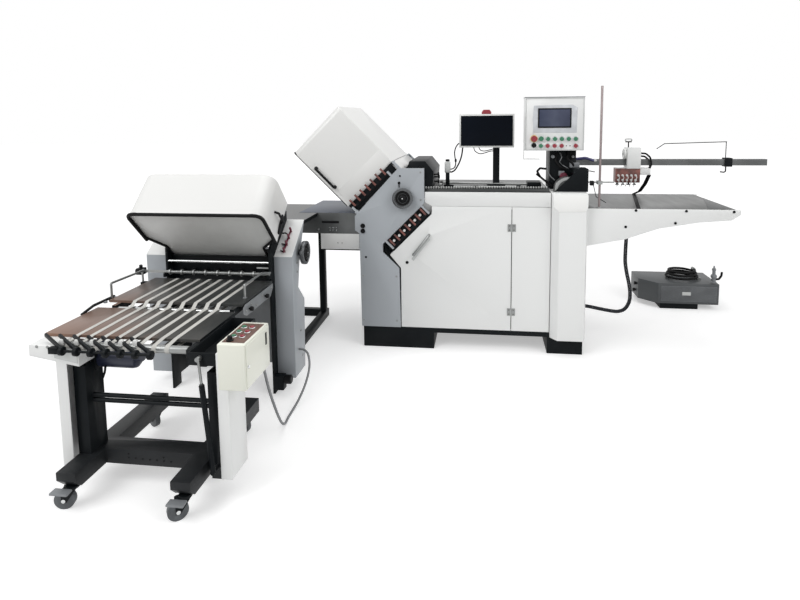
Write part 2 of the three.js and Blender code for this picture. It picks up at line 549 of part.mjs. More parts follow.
// A row of short levers on one shaft that runs along the bank.
function leverRow(spec, shaftQ, y, direction) {
  const low = spec.first - spec.barThickness;
  const high = spec.first + spec.pitch * (spec.count - 1) + spec.stickWidth + spec.barThickness;
  const shaft = block(low, high, y, y + spec.barThickness, shaftQ - spec.barWidth / 2, shaftQ + spec.barWidth / 2);
  const sticks = Array.from({ length: spec.count }, (_, i) => {
    const p = spec.first + i * spec.pitch;
    const reach = [shaftQ, shaftQ + direction * spec.stickLength];
    return block(p, p + spec.stickWidth, y - spec.stickThickness, y + lap, Math.min(...reach), Math.max(...reach));
  });
  return join(shaft, ...sticks);
}
add(toBank1, 'upper_levers_1', leverRow(levers1, levers1.upperBar, leverY, 1), finish.copper);
add(toBank1, 'lower_levers_1', leverRow(levers1, levers1.lowerBar, leverY, 1), finish.copper);
line.add(toBank1);

// Feeder brackets: two arched side plates with ties between them.
const bracketLeft = column.right + clear;
const bracketOutline = [
  [bracketLeft, below(feeder.rootDrop)], [feeder.archX, below(feeder.archDrop)], [feeder.midX, below(feeder.midDrop)], [feeder.farX, below(feeder.farDrop)],
  [feeder.endX, below(feeder.endDrop)], [feeder.tip, below(feeder.noseDrop)], [feeder.tip, below(feeder.topDrop)], [bracketLeft, below(feeder.topDrop)],
];
const tieTop = below(feeder.topDrop) - feedTable.thickness - clear;
const bracketInner = feeder.front + feeder.skin;
const bracketTies = [bracketLeft + feeder.firstTieInset, feedTable.right - feeder.secondTieInset].map((x) => block(x, x + feeder.tieWidth, bracketInner - lap,
  feeder.back - feeder.skin + lap, below(feeder.topDrop) - feeder.tieDrop, tieTop));
const bracketPlates = [slabY(bracketOutline, feeder.front, bracketInner),
  slabY(bracketOutline, feeder.back - feeder.skin, feeder.back)];
add(line, 'feeder_brackets', join(...bracketPlates, ...bracketTies), finish.white);
const feedTableSlab = block(bracketLeft, feedTable.right, bracketInner + clear, feeder.back - feeder.skin - clear,
  tieTop + clear, below(feeder.topDrop));
// Lay rod: an upright fixed to the feed table, with a clamp and a cross arm that ends against the guard plate.
const rodUp = turned([
  [0, -lap], [layRod.foot, -lap], [layRod.foot, layRod.footHeight], [layRod.radius, layRod.footHeight],
  [layRod.radius, layRod.top], [0, layRod.top],
], [layRod.x, layRod.y, below(feeder.topDrop)], [0, 0, 1], 16);
const armZ = above(layRod.armRise);
const armY = triangle.front + triangle.thickness / 2;
const rodClamp = block(layRod.x - layRod.clampHalf, layRod.x + layRod.clampHalf, layRod.y - layRod.clampHalf,
  armY + layRod.armRadius * 2, armZ - layRod.clampHeight / 2, armZ + layRod.clampHeight / 2);
const rodArm = bar([triangle.shoulderX + clear, armY, armZ], [layRod.armRight, armY, armZ], layRod.armRadius, 12);
add(line, 'feeder_table', join(feedTableSlab, rodUp, rodClamp, rodArm), finish.steel);

// Tower on the column, its long beam and the drum's triangular guard.
const towerBottom = columnTop + clear;
const towerBlock = block(tower.left, tower.right, tower.front, tower.back, towerBottom, above(tower.rise));
const beamFront = beam.y;
const beamBack = beam.y + beam.size;
const beamTop = above(beam.rise) + beam.size;
const beamBar = block(tower.right - lap, beam.end, beamFront, beamBack, above(beam.rise), beamTop);
const guardPlate = slabY([
  [triangle.left, towerBottom], [triangle.shoulderX, towerBottom], [triangle.shoulderX, above(triangle.shoulderRise)],
  [triangle.peakX, above(triangle.peakRise)],
], triangle.front, triangle.front + triangle.thickness);
const stayRight = triangle.shoulderX;
const stay = block(tower.right - triangle.stay, stayRight, triangle.front + lap, tower.front + lap,
  above(triangle.shoulderRise) - triangle.stay, above(triangle.shoulderRise));
const towerAndBeam = join(towerBlock, beamBar, guardPlate, stay);
add(line, 'feeder_beam', towerAndBeam, finish.black);

// Suction drum between the guard and the tower.
const drumProfile = [
  [0, drumFront], [drum.shaft, drumFront], [drum.shaft, drumFront + drum.rearGap], [drum.radius, drumFront + drum.rearGap],
  [drum.radius, drumBack], [drum.shaft, drumBack], [drum.shaft, tower.front - clear], [0, tower.front - clear],
];
add(line, 'suction_drum', turned(drumProfile, [drum.x, 0, above(drum.rise)], [0, 1, 0], 32), finish.chrome);

// Control cabinet on the tower, with its stop button, selector and start button.
const panelTop = above(panel.rise) + panel.height;
const cabinetBack = panel.front + panel.depth;
const buttonFace = panel.front - clear;
const buttonBore = (x, radius) => bar([x, panel.front - overrun, above(panelButtons.stopRise)],
  [x, panel.front + panelButtons.travel + running, above(panelButtons.stopRise)], radius / 2 + clear, 20);
const cabinetBox = block(panel.left, panel.right, panel.front, cabinetBack, above(panel.rise), panelTop);
const controlCabinet = cut(cabinetBox, buttonBore(panelButtons.x, panelButtons.stopRadius),
  buttonBore(panelButtons.startX, panelButtons.radius));
add(line, 'control_cabinet', controlCabinet, finish.white);
function pushButton(x, z, radius, stand) {
  const profile = [[0, 0], [radius / 2, 0], [radius / 2, stand / 2], [radius, stand / 2], [radius, stand], [0, stand]];
  return turned(profile, [x, buttonFace, z], [0, -1, 0], 20);
}
const stopStand = panelButtons.stopStand;
add(line, 'emergency_stop', pushButton(panelButtons.x, above(panelButtons.stopRise), panelButtons.stopRadius, stopStand), finish.red);
const startStand = panelButtons.stand + panelButtons.travel;
add(line, 'start_button', pushButton(panelButtons.startX, above(panelButtons.stopRise), panelButtons.radius, startStand), finish.green);
const selectorBase = bar([panelButtons.x, buttonFace, above(panelButtons.selectorRise)],
  [panelButtons.x, buttonFace - panelButtons.stand, above(panelButtons.selectorRise)], panelButtons.radius, 20);
const gripHalf = panelButtons.radius / 4;
const selectorGrip = block(panelButtons.x - gripHalf, panelButtons.x + gripHalf, buttonFace - panelButtons.stand * 2,
  buttonFace - lap, above(panelButtons.selectorRise) - panelButtons.radius + lap, above(panelButtons.selectorRise) + panelButtons.radius - lap);
add(line, 'selector_switch', join(selectorBase, selectorGrip), finish.black);

// Display on its post and foot.
const displayTop = above(monitor.rise) + monitor.height;
const displayBack = monitor.y + monitor.depth;
const displaySlab = block(monitor.left, monitor.right, monitor.y, displayBack, above(monitor.rise), displayTop);
const postBack = displayBack + monitor.postWidth;
const post = block(monitor.postX, monitor.postX + monitor.postWidth, displayBack - lap, postBack,
  main.tableHeight + clear, displayTop - monitor.height / 2);
const footMargin = (monitor.footWidth - monitor.postWidth) / 2;
const displayFoot = block(monitor.postX - footMargin, monitor.postX + monitor.postWidth + footMargin, displayBack - footMargin,
  postBack + footMargin, main.tableHeight + clear, main.tableHeight + clear + monitor.footHeight);
add(line, 'display_monitor', join(displaySlab, post, displayFoot), finish.black);

// Separator head: a box that slides on the beam, with its sucker block and side box below.
const headMiddle = beam.y + beam.size / 2;
const separatorRight = head.left + head.width;
const screwX = head.left + screw.inset;
const headBox = block(head.left, separatorRight, headMiddle - head.depth / 2, headMiddle + head.depth / 2, above(head.lowRise), above(head.topRise));
const beamHole = block(head.left - overrun, separatorRight + overrun, beamFront - head.play, beamBack + head.play,
  above(beam.rise) - head.play, beamTop + head.play);
const suckerBlock = block(head.left - head.blockReach, separatorRight, headMiddle - head.blockDepth / 2, headMiddle + head.blockDepth / 2,
  above(head.lowRise) - head.blockDrop, above(head.lowRise) + lap);
const sideBox = block(separatorRight - lap, separatorRight + head.sideReach, headMiddle - head.blockDepth / 2, headMiddle + head.blockDepth / 2,
  above(head.lowRise) - head.sideBoxHeight, above(head.lowRise));
add(line, 'separator_head', join(cut(headBox, beamHole), suckerBlock, sideBox), finish.white);
const screwTop = above(head.topRise) + screw.rise;
const screwStem = bar([screwX, headMiddle, above(head.topRise) + clear], [screwX, headMiddle, screwTop], screw.radius, 10);
const screwBar = bar([screwX - screw.barHalf, headMiddle, screwTop], [screwX + screw.barHalf, headMiddle, screwTop],
  screw.barRadius, 10);
add(line, 'height_screw', join(screwStem, screwBar), finish.steel);

// Wire guide: a clamp on the beam that carries a bent wire.
const clampTop = beamTop + wire.play + wire.clampWall;
const clampBox = block(wire.x, wire.x + wire.clampWidth, beamFront - wire.play - wire.clampWall,
  beamBack + wire.play + wire.clampWall, above(beam.rise) - wire.play - wire.clampWall, clampTop);
const clampHole = block(wire.x - overrun, wire.x + wire.clampWidth + overrun, beamFront - wire.play, beamBack + wire.play,
  above(beam.rise) - wire.play, beamTop + wire.play);
const wireX = wire.x + wire.clampWidth / 4;
const wireTop = clampTop - lap + wire.rise;
const wireUp = bar([wireX, headMiddle, clampTop - lap], [wireX, headMiddle, wireTop], wire.radius, 8);
const wireAcross = bar([wireX + wire.radius, headMiddle, wireTop], [wireX - wire.reach, headMiddle, wireTop - wire.dip / 2],
  wire.radius, 8);
const wireTip = bar([wireX - wire.reach + wire.radius, headMiddle, wireTop - wire.dip / 2],
  [wireX - wire.reach - wire.tipReach, headMiddle, wireTop - wire.dip * 2], wire.radius, 8);
add(line, 'wire_guide', join(cut(clampBox, clampHole), wireUp, wireAcross, wireTip), finish.steel);

// A tube along a hand-set route, with an outline that may be one circle or two side by side.
function tubeAlong(points, shape, steps) {
  const path = new THREE.CatmullRomCurve3(points.map((p) => new THREE.Vector3(...p)));
  return new THREE.ExtrudeGeometry(shape, { steps, extrudePath: path, bevelEnabled: false });
}
function circleShape(radius, sides) {
  const ring = Array.from({ length: sides }, (_, i) => {
    const angle = (i / sides) * Math.PI * 2;
    return new THREE.Vector2(Math.cos(angle) * radius, Math.sin(angle) * radius);
  });
  return new THREE.Shape(ring);
}

// Twin hose from the feeder's underside to the column: the route of its centre line.
const hoseRoute = [
  [1467, -40, 895.2], [1467, -40, 840], [1466, -40, 740], [1464, -40, 660], [1462, -40, 580], [1463, -40, 510],
  [1474, -40, 440], [1490, -40, 370], [1500, -40, 300], [1495, -40, 240], [1468, -40, 192], [1425, -40, 174],
  [1370, -40, 178], [1300, -40, 190], [1230, -40, 203], [1185, -40, 206], [1156.6, -40, 206],
].map(([x, y, z]) => [x, y, z * tieTop / hose.drawnTop]);
add(line, 'feeder_hose', tubeAlong(hoseRoute, circleShape(hose.radius, hose.sides), 40), finish.rubber);

// Transfer table between the units, with its side plates, slotted underside and terminal box.
const transferRight = plate1.left - clear;
const transferBottom = below(transfer.drop) - transfer.height;
const transferBody = block(transfer.left, transferRight, transfer.front, transfer.back, transferBottom, below(transfer.drop));
const transferCore = block(transfer.left + transfer.skin, transferRight - transfer.skin, transfer.front + transfer.skin,
  transfer.back - transfer.skin, transferBottom - overrun, below(transfer.drop) - transfer.skin);
const terminalBox = block(transfer.boxLeft, transfer.boxRight, transfer.front, transfer.front + transfer.boxDepth,
  below(transfer.boxDrop), transferBottom + lap);
add(line, 'transfer_table', join(cut(transferBody, transferCore), terminalBox), finish.grey);

// Floor stand of the second unit: beams on the floor and a post at the back corner.
const standBack = block(stand.left, stand.right, stand.back - stand.beam, stand.back, 0, stand.height);
const standSides = [stand.left, stand.right - stand.beam].map((x) => block(x, x + stand.beam, stand.front,
  stand.back - stand.beam + lap, 0, stand.height));
const postX = [stand.left, stand.right - stand.beam];
const postTops = [frame2.tableTop - frame2.tableThickness - clear, transferBottom - clear];
const standPosts = postX.map((x, i) => block(x, x + stand.beam, stand.back - stand.beam * 2, stand.back - stand.beam,
  stand.height - lap, postTops[i]));
add(line, 'transfer_stand', join(standBack, ...standSides, ...standPosts), finish.black);

// Second fold unit's frame: two inner side plates, the infeed table and the lower cover between them.
const innerOutline = [
  [frame2.front, 0], [frame2.front + frame2.footLength, 0], [frame2.front + frame2.footLength, frame2.bottomBack],
  [frame2.back, frame2.bottomBack], [frame2.back, frame2.bankTop], [frame2.bankBackY, frame2.bankTop],
  [frame2.front, frame2.bankFrontZ],
];
const innerLeft = slabX(innerOutline, frame2.left, frame2.left + frame2.thickness);
const innerRight = slabX(innerOutline, frame2.right - frame2.thickness, frame2.right);
const infeedBottom = frame2.tableTop - frame2.tableThickness;
const infeedRight = transfer.left - clear;
const infeedTable = block(frame2.left, infeedRight, frame2.back - lap, frame2.tableBack, infeedBottom, frame2.tableTop);
const infeedRear = block(infeedRight - lap, frame2.right, frame2.back - lap, transfer.front - clear, infeedBottom,
  frame2.tableTop);
const lowerCover = block(frame2.left + lap, frame2.right - lap, frame2.coverY, frame2.coverY + frame2.coverSkin,
  frame2.coverBottom, frame2.coverTop);
const bearingTop = slitter.z - slitter.radius - clear;
const bearings = [frame2.left, frame2.right - frame2.thickness].map((x) => block(x, x + frame2.thickness,
  slitter.y - frame2.bearing / 2, frame2.front + lap, bearingTop - frame2.bearing, bearingTop));
// The bank of the second unit: axes turned a quarter turn, then tilted.
const toUnit2 = new THREE.Group();
toUnit2.position.set(unit2.x, unit2.y, unit2.z);
toUnit2.rotation.z = quarter;
const toBank2 = new THREE.Group();
toBank2.rotation.y = -bankTilt;
toUnit2.add(toBank2);
toUnit2.updateMatrixWorld(true);
const acrossOf = (x) => unit2.x - x;
const leftFace = acrossOf(frame2.left + frame2.thickness);
const rightFace = acrossOf(frame2.right - frame2.thickness);
const hinges2 = [
  hinge(hood2, leftFace, acrossOf(frame2.left), leftFace - clear * 2),
  hinge(hood2, rightFace, acrossOf(frame2.right), rightFace + clear * 2),
];
const restBar2 = block(hood2.low + stack2.panInset, hood2.low + stack2.panInset + plate1.tieBar, rightFace - lap,
  leftFace + lap, stack2.panNear - clear - plate1.tieBar, stack2.panNear - clear);
const bankParts2 = [restBar2, ...hinges2.flatMap((h) => h.frame)];
bankParts2.forEach((piece) => piece.applyMatrix4(toBank2.matrixWorld));
const frame2Solid = join(innerLeft, innerRight, infeedTable, infeedRear, lowerCover, ...bearings, ...bankParts2);

// Rollers of the second unit lie along X, and their handwheel points to the right.
const innerFaceLeft = frame2.left + frame2.thickness;
const innerFaceRight = frame2.right - frame2.thickness;
const housingRight = frame2.right + housing.width;
const toRight = (x) => housingRight - x;
const roller2Gap = bank1.rollerEndGap;
const wheel2Profile = wheelOnRoller(0, toRight(innerFaceRight - roller2Gap), toRight(innerFaceLeft + roller2Gap),
  toRight(innerFaceLeft + clear), unit2.rollerRadius, unit2.shaftRadius);
const wheel2 = turned(wheel2Profile, [housingRight, unit2.y, unit2.z], [-1, 0, 0]);
add(line, 'handwheel_2', wheel2, finish.steel);
const shaftHole2 = unit2.shaftRadius + clear;
const shaftDrill2 = bar([innerFaceRight - overrun, unit2.y, unit2.z], [housingRight + overrun, unit2.y, unit2.z], shaftHole2, 24);
add(line, 'fold_frame_2', cut(frame2Solid, shaftDrill2), finish.black);
const mate2Step = (unit2.rollerRadius * 2 + clear) * Math.SQRT1_2;
const mate2Profile = mateProfile(unit2.rollerRadius, unit2.shaftRadius, innerFaceLeft + clear, innerFaceRight - clear, roller2Gap);
const mate2 = turned(mate2Profile, [0, unit2.y - mate2Step, unit2.z - mate2Step], [1, 0, 0]);
add(line, 'fold_roller_2', mate2, finish.steel);

// Housings beside the second unit, with the sloping top and drawn-in waist.
const housingOutline = [
  [housing.front, housing.bottom], [housing.footY, housing.bottom], [housing.heelY, housing.heelZ],
  [housing.waistY, housing.waistZ], [housing.waistTopY, housing.waistTopZ], [housing.slopeBack, housing.top],
  [housing.front, housing.slopeFrontZ],
];
const housingLeftX = frame2.left - clear;
const rightHousing = slabX(housingOutline, frame2.right + clear, housingRight);
add(line, 'housing_right_2', cut(rightHousing, shaftDrill2), finish.grey);
add(line, 'housing_left_2', slabX(housingOutline, housingLeftX - housing.leftWidth, housingLeftX), finish.grey);

// Hood and plates of the second unit.
add(toBank2, 'noise_hood_2', join(hoodShell(hood2), ...hinges2.flatMap((h) => h.hood)), finish.white);
add(toBank2, 'upper_fold_plates_2', plateStack(stack2, hood2), finish.paleGrey);
line.add(toUnit2);

const slopeRun = housing.slopeBack - housing.front;
const slopeRise = housing.top - housing.slopeFrontZ;
const slopeLength = Math.hypot(slopeRun, slopeRise);
const slopeDirection = [slopeRun / slopeLength, slopeRise / slopeLength];
const onSlope = (distance, lift) => [
  housing.front + slopeDirection[0] * distance - slopeDirection[1] * lift,
  housing.slopeFrontZ + slopeDirection[1] * distance + slopeDirection[0] * lift,
];
const leverX = frame2.right + housing.width / 2;
const slopeBar = (from, to, lift0, lift1, x0, x1) => slabX([
  onSlope(from, lift0), onSlope(to, lift0), onSlope(to, lift1), onSlope(from, lift1),
], x0, x1);
const lever2Start = levers2.inset;
const lever2Pitch = (levers2.length - levers2.thickness) / (levers2.count - 1);
const lever2Bar = slopeBar(lever2Start, lever2Start + levers2.length, levers2.barLow, levers2.barHigh,
  leverX - levers2.bar, leverX);
const lever2Sticks = Array.from({ length: levers2.count }, (_, i) => {
  const from = lever2Start + i * lever2Pitch;
  return slopeBar(from, from + levers2.thickness, levers2.stickLow, levers2.stick, leverX - lap, leverX + levers2.thickness);
});
add(line, 'levers_2', join(lever2Bar, ...lever2Sticks), finish.copper);

// Slitter shaft with its collars, in front of the second unit.
const collarStep = (slitter.right - slitter.first) / slitter.collars;
const slitterProfile = [[0, slitter.left], [slitter.radius, slitter.left]];
for (let i = 0; i < slitter.collars; i += 1) {
  const at = slitter.first + i * collarStep;
  slitterProfile.push([slitter.radius, at], [slitter.collar, at]);
  slitterProfile.push([slitter.collar, at + slitter.collarWidth], [slitter.radius, at + slitter.collarWidth]);
}
slitterProfile.push([slitter.radius, slitter.right + frame2.thickness * 2], [0, slitter.right + frame2.thickness * 2]);
add(line, 'slitter_shaft', turned(slitterProfile, [0, slitter.y, slitter.z], [1, 0, 0], 12), finish.chrome);

// Upper delivery board on two rails that butt against the second unit.
const boardBottom = board.top - board.thickness;
const boardPlate = block(board.left, board.right, board.front, board.back, boardBottom, board.top);
const boardRailX = [frame2.left, frame2.right - board.railWidth];
const boardRails = boardRailX.map((x) => block(x, x + board.railWidth, midRoller.y - midRoller.radius,
  frame2.front - clear, boardBottom - board.railDrop, boardBottom + lap));
const crossHole = (roller) => bar([deck.left - overrun, roller.y, roller.z], [deck.sideRight, roller.y, roller.z],
  roller.journal + clear, 20);
add(line, 'upper_delivery_board', cut(join(boardPlate, ...boardRails), crossHole(midRoller)), finish.brown);
// A cross roller between two rails, with a journal in each.
function crossRoller(roller, from, to, bodyFrom, bodyTo) {
  const profile = [
    [0, from], [roller.journal, from], [roller.journal, bodyFrom], [roller.radius, bodyFrom],
    [roller.radius, bodyTo], [roller.journal, bodyTo], [roller.journal, to], [0, to],
  ];
  return turned(profile, [0, roller.y, roller.z], [1, 0, 0], 20);
}
const midRollerBar = crossRoller(midRoller, boardRailX[0], boardRailX[1] + board.railWidth,
  boardRailX[0] + board.railWidth + clear, boardRailX[1] - clear);
add(line, 'mid_delivery_roller', midRollerBar, finish.chrome);

// Lower deck: board, rails, side box and drive motor.
const deckBottom = deck.top - deck.thickness;
const deckPlate = block(deck.left, deck.right, deck.front, deck.back, deckBottom, deck.top);
const deckRailX = [deck.left, deck.right - deck.railWidth];
const deckRailFront = [leg.back + clear, deck.reach];
const deckRails = deckRailX.map((x, i) => block(x, x + deck.railWidth, deckRailFront[i], deck.back,
  deckBottom - deck.railDrop, deckBottom + lap));
const sideOuter = block(deck.right - lap, deck.sideRight, deck.sideFront, deck.sideBack, deckBottom - deck.sideDrop,
  deckBottom);
const sideCore = block(deck.right + deck.sideSkin, deck.sideRight - deck.sideSkin, deck.sideFront + deck.sideSkin,
  deck.sideBack - deck.sideSkin, deckBottom - deck.sideDrop + deck.sideSkin, deckBottom + overrun);
const motorZ = deckBottom - deck.motorDrop + deck.motorRadius;
const motor = bar([deck.motorLeft, deck.motorY, motorZ], [deck.motorRight, deck.motorY, motorZ], deck.motorRadius, 16);
const hanger = block(deck.motorLeft, deck.motorLeft + deck.motorRadius * 2, deck.motorY - deck.motorRadius,
  deck.motorY + deck.motorRadius, motorZ, deckBottom + lap);
const deckWithRails = cut(join(deckPlate, ...deckRails), crossHole(frontRoller));
add(line, 'lower_delivery_board', join(deckWithRails, cut(sideOuter, sideCore), motor, hanger), finish.brown);
const frontRollerBar = crossRoller(frontRoller, leg.leftOuter - fork.journalDepth, deck.right - lap - clear,
  leg.leftOuter + clear, deck.right - deck.railWidth - clear);
add(line, 'front_delivery_roller', frontRollerBar, finish.chrome);

// A flat arm between two points.
function armBetween(from, to, width, height) {
  const a = new THREE.Vector3(...from);
  const along = new THREE.Vector3(...to).sub(a);
  const geometry = new THREE.BoxGeometry(along.length(), width, height);
  geometry.translate(along.length() / 2, 0, 0);
  geometry.rotateY(-Math.asin(along.z / along.length()));
  geometry.rotateZ(Math.atan2(along.y, along.x));
  geometry.translate(...from);
  return geometry;
}

// Fork arms with their discs on one rod in front of the roller, blocked to the left leg's head.
const forkY = fork.front[1];
const forkParts = Array.from({ length: fork.count }, (_, i) => {
  const shift = i * fork.pitch;
  const [x, y, z] = fork.front;
  const [rearX, rearY, rearZ] = fork.rear;
  const arm = armBetween([x + shift, y, z], [rearX + shift, rearY, rearZ], fork.armWidth, fork.armHeight);
  const disc = bar([x + shift - fork.discWidth / 2, y, fork.rodZ], [x + shift + fork.discWidth / 2, y, fork.rodZ], fork.disc, 16);
  return [arm, disc];
}).flat();
const rodEnd = fork.front[0] + fork.pitch * (fork.count - 1);
const forkRod = bar([fork.blockLeft, forkY, fork.rodZ], [rodEnd, forkY, fork.rodZ], fork.rodRadius, 12);
const forkBlock = block(fork.blockLeft, fork.blockLeft + fork.blockWidth, forkY - fork.rodRadius, leg.front - clear,
  fork.rodZ - fork.blockHeight / 2, fork.rodZ + fork.blockHeight / 2);
add(line, 'fork_rack', join(forkRod, forkBlock, ...forkParts), finish.black);

// Wheeled base: two floor beams, the cross beam, the inner columns and the two cross tubes.
function floorBeam(x) {
  const bottom = base.top - base.height;
  const side = [
    [base.front, base.top], [base.front, base.top - base.height / 2], [base.front + base.chamfer, bottom],
    [base.back, bottom], [base.back, base.top],
  ];
  return slabX(side, x, x + base.beamWidth);
}
const columnLeftX = leg.leftOuter + leg.width + clear;
const columnRightX = leg.rightOuter - leg.width - clear;
const crossBeam = block(columnLeftX, columnRightX, base.crossFront, base.crossBack, base.top - base.height, base.top);
const innerColumns = [columnLeftX, columnRightX - base.columnWidth].map((x) => block(x, x + base.columnWidth,
  base.columnFront, base.columnBack, base.top - base.height, base.columnTop - clear));
const crossTubes = [tubes.z, tubes.z - tubes.drop].map((z) => bar([columnLeftX + lap, tubes.y, z],
  [columnRightX - lap, tubes.y, z], tubes.radius, 10));
const springLug = bar([spring.bottomX, spring.lugFront, spring.bottomZ], [spring.bottomX, base.columnFront + lap,
  spring.bottomZ], spring.eye, 16);
const baseSolid = join(floorBeam(base.leftBeam), floorBeam(base.rightBeam), crossBeam, ...innerColumns, ...crossTubes,
  springLug);
add(line, 'delivery_base', baseSolid, finish.black);

// Leg covers: open channels that hang from the deck over the inner columns.
function legCover(outer, direction, top) {
  const inner = outer + direction * leg.width;
  const low = Math.min(outer, inner);
  const high = Math.max(outer, inner);
  const shell = block(low, high, leg.front, leg.back, leg.bottom, top);
  const coreLow = direction > 0 ? low + leg.skin : low - overrun;
  const coreHigh = direction > 0 ? high + overrun : high - leg.skin;
  return cut(shell, block(coreLow, coreHigh, leg.front + leg.skin, leg.back - leg.skin, leg.bottom - overrun, top - leg.skin));
}
// The left leg ends in a wide head that carries the roller's journal and the fork rack.
const legTop = deckBottom - clear;
const headShelf = frontRoller.z - frontRoller.radius - running;
const headRight = leg.leftOuter + legHead.overhang;
const headOutline = [
  [leg.leftOuter, legTop], [leg.leftOuter - legHead.reach, legTop], [leg.leftOuter - legHead.reach, legTop - legHead.thickness],
  [headRight, legTop - legHead.root], [headRight, headShelf], [leg.leftOuter, headShelf],
];
const journalHole = bar([leg.leftOuter - fork.journalDepth - clear, frontRoller.y, frontRoller.z],
  [leg.leftOuter + overrun, frontRoller.y, frontRoller.z], frontRoller.journal + clear, 20);
const legHeadSolid = cut(slabY(headOutline, leg.front, leg.back), journalHole);
add(line, 'delivery_leg_left', join(legCover(leg.leftOuter, 1, legTop - legHead.thickness), legHeadSolid), finish.white);
add(line, 'delivery_leg_right', legCover(leg.rightOuter, -1, legTop), finish.white);

// Control box on the right leg.
const boxLeft = leg.rightOuter + clear;
const deliveryBox = block(boxLeft, boxLeft + controlBox.width, controlBox.front, controlBox.back, controlBox.bottom,
  controlBox.bottom + controlBox.height);
add(line, 'delivery_control_box', deliveryBox, finish.cream);

// Gas spring: the cylinder stands on the base, and its rod pushes the deck up.
const springPoint = (share) => [
  spring.bottomX + (spring.topX - spring.bottomX) * share, spring.y,
  spring.bottomZ + (spring.topZ - spring.bottomZ) * share,
];
const cylinderBar = cut(bar(springPoint(0), springPoint(spring.cylinderShare), spring.cylinder, 14),
  bar(springPoint(spring.cylinderShare / 4), springPoint(1), spring.rod + clear, 14));
const cylinderEye = bar([spring.bottomX, spring.y - spring.eye, spring.bottomZ],
  [spring.bottomX, spring.lugFront - clear, spring.bottomZ], spring.eye, 16);
add(line, 'gas_spring_cylinder', join(cylinderBar, cylinderEye), finish.black);
const rodBar = bar(springPoint(spring.cylinderShare / 2), springPoint(1), spring.rod, 12);
const rodEye = bar([spring.topX, spring.y - spring.eye, spring.topZ], [spring.topX, deck.sideFront - clear, spring.topZ],
  spring.eye, 16);
add(line, 'gas_spring_rod', join(rodBar, rodEye), finish.chrome);

// Castors: a swivelling fork and its wheel, four times.
const castorTop = base.top - base.height - clear;
const castorPlaces = [
  { name: 'front_left', x: base.leftBeam, y: base.front + castor.frontInset, angle: 3.4 },
  { name: 'front_right', x: base.rightBeam, y: base.front + castor.frontInset, angle: 3.8 },
  { name: 'rear_left', x: base.leftBeam, y: base.back - castor.rearInset, angle: 2.6 },
  { name: 'rear_right', x: base.rightBeam, y: base.back - castor.rearInset, angle: 2.9 },
];
const halfGap = castor.wheelWidth / 2 + clear;
const crown = bar([0, 0, castorTop - castor.crownHeight], [0, 0, castorTop], castor.crown, 20);
const bridge = block(-castor.cheekWidth / 2, castor.trail + castor.cheek, -halfGap - castor.cheek, halfGap + castor.cheek,
  castorTop - castor.crownHeight - lap, castorTop - castor.crownHeight + lap);
const cheeks = [-1, 1].map((side) => {
  const y0 = side > 0 ? halfGap : -halfGap - castor.cheek;
  const outline = [
    [-castor.cheekWidth / 2, castorTop - castor.crownHeight], [castor.trail - castor.hub, castor.wheelRadius - castor.hub],
    [castor.trail + castor.hub, castor.wheelRadius - castor.hub], [castor.trail + castor.hub, castorTop - castor.crownHeight],
  ];
  return slabY(outline, y0, y0 + castor.cheek);
});
const forkGeometry = join(crown, bridge, ...cheeks);
const tread = castor.wheelWidth / 2 - castor.cheek / 2;
const wheelProfile = [
  [0, -castor.wheelWidth / 2], [castor.hub, -castor.wheelWidth / 2], [castor.hub, -tread], [castor.wheelRadius, -tread],
  [castor.wheelRadius, tread], [castor.hub, tread], [castor.hub, castor.wheelWidth / 2], [0, castor.wheelWidth / 2],
];
const wheelGeometry = turned(wheelProfile, [castor.trail, 0, castor.wheelRadius], [0, 1, 0]);
for (const place of castorPlaces) {
  const group = new THREE.Group();
  group.position.set(place.x + base.beamWidth / 2, place.y, 0);
  group.rotation.z = place.angle;
  add(group, `castor_fork_${place.name}`, forkGeometry.clone(), finish.black);
  add(group, `castor_wheel_${place.name}`, wheelGeometry.clone(), finish.tyre);
  line.add(group);
}

// Delivery cable: from the control box down to the floor and up to the right housing.
const cableRoute = [
  [-345, -1779.7, 556], [-345, -1768, 556], [-346, -1740, 520], [-350, -1700, 440], [-358, -1640, 330], [-368, -1560, 210],
  [-380, -1480, 110], [-392, -1410, 45], [-402, -1350, 14], [-410, -1290, 7], [-410, -1230, 10], [-400, -1160, 32],
  [-388, -1090, 76], [-385, -1030, 122], [-392, -990, 160], [-412, -956, 194], [-436, -942, 206], [-452, -940, 208], [-465.7, -940, 208],
];
add(line, 'delivery_cable', tubeAlong(cableRoute, circleShape(cable.radius, cable.sides), 48), finish.tyre);

// Vacuum pump: body with a chamfered end cover, open-ended base rail and the coiled hose on top.
const pumpOutline = [
  [pump.chamferX, pump.front], [pump.right, pump.front], [pump.right, pump.back], [pump.left, pump.back],
  [pump.left, pump.shoulderY],
];
const pumpBody = slabZ(pumpOutline, pump.bottom, pump.top);
const pumpBase = block(pump.baseLeft, pump.baseRight, pump.front + pump.baseWall, pump.baseBack, 0, pump.bottom + lap);
add(line, 'vacuum_pump', join(pumpBody, pumpBase), finish.rubber);

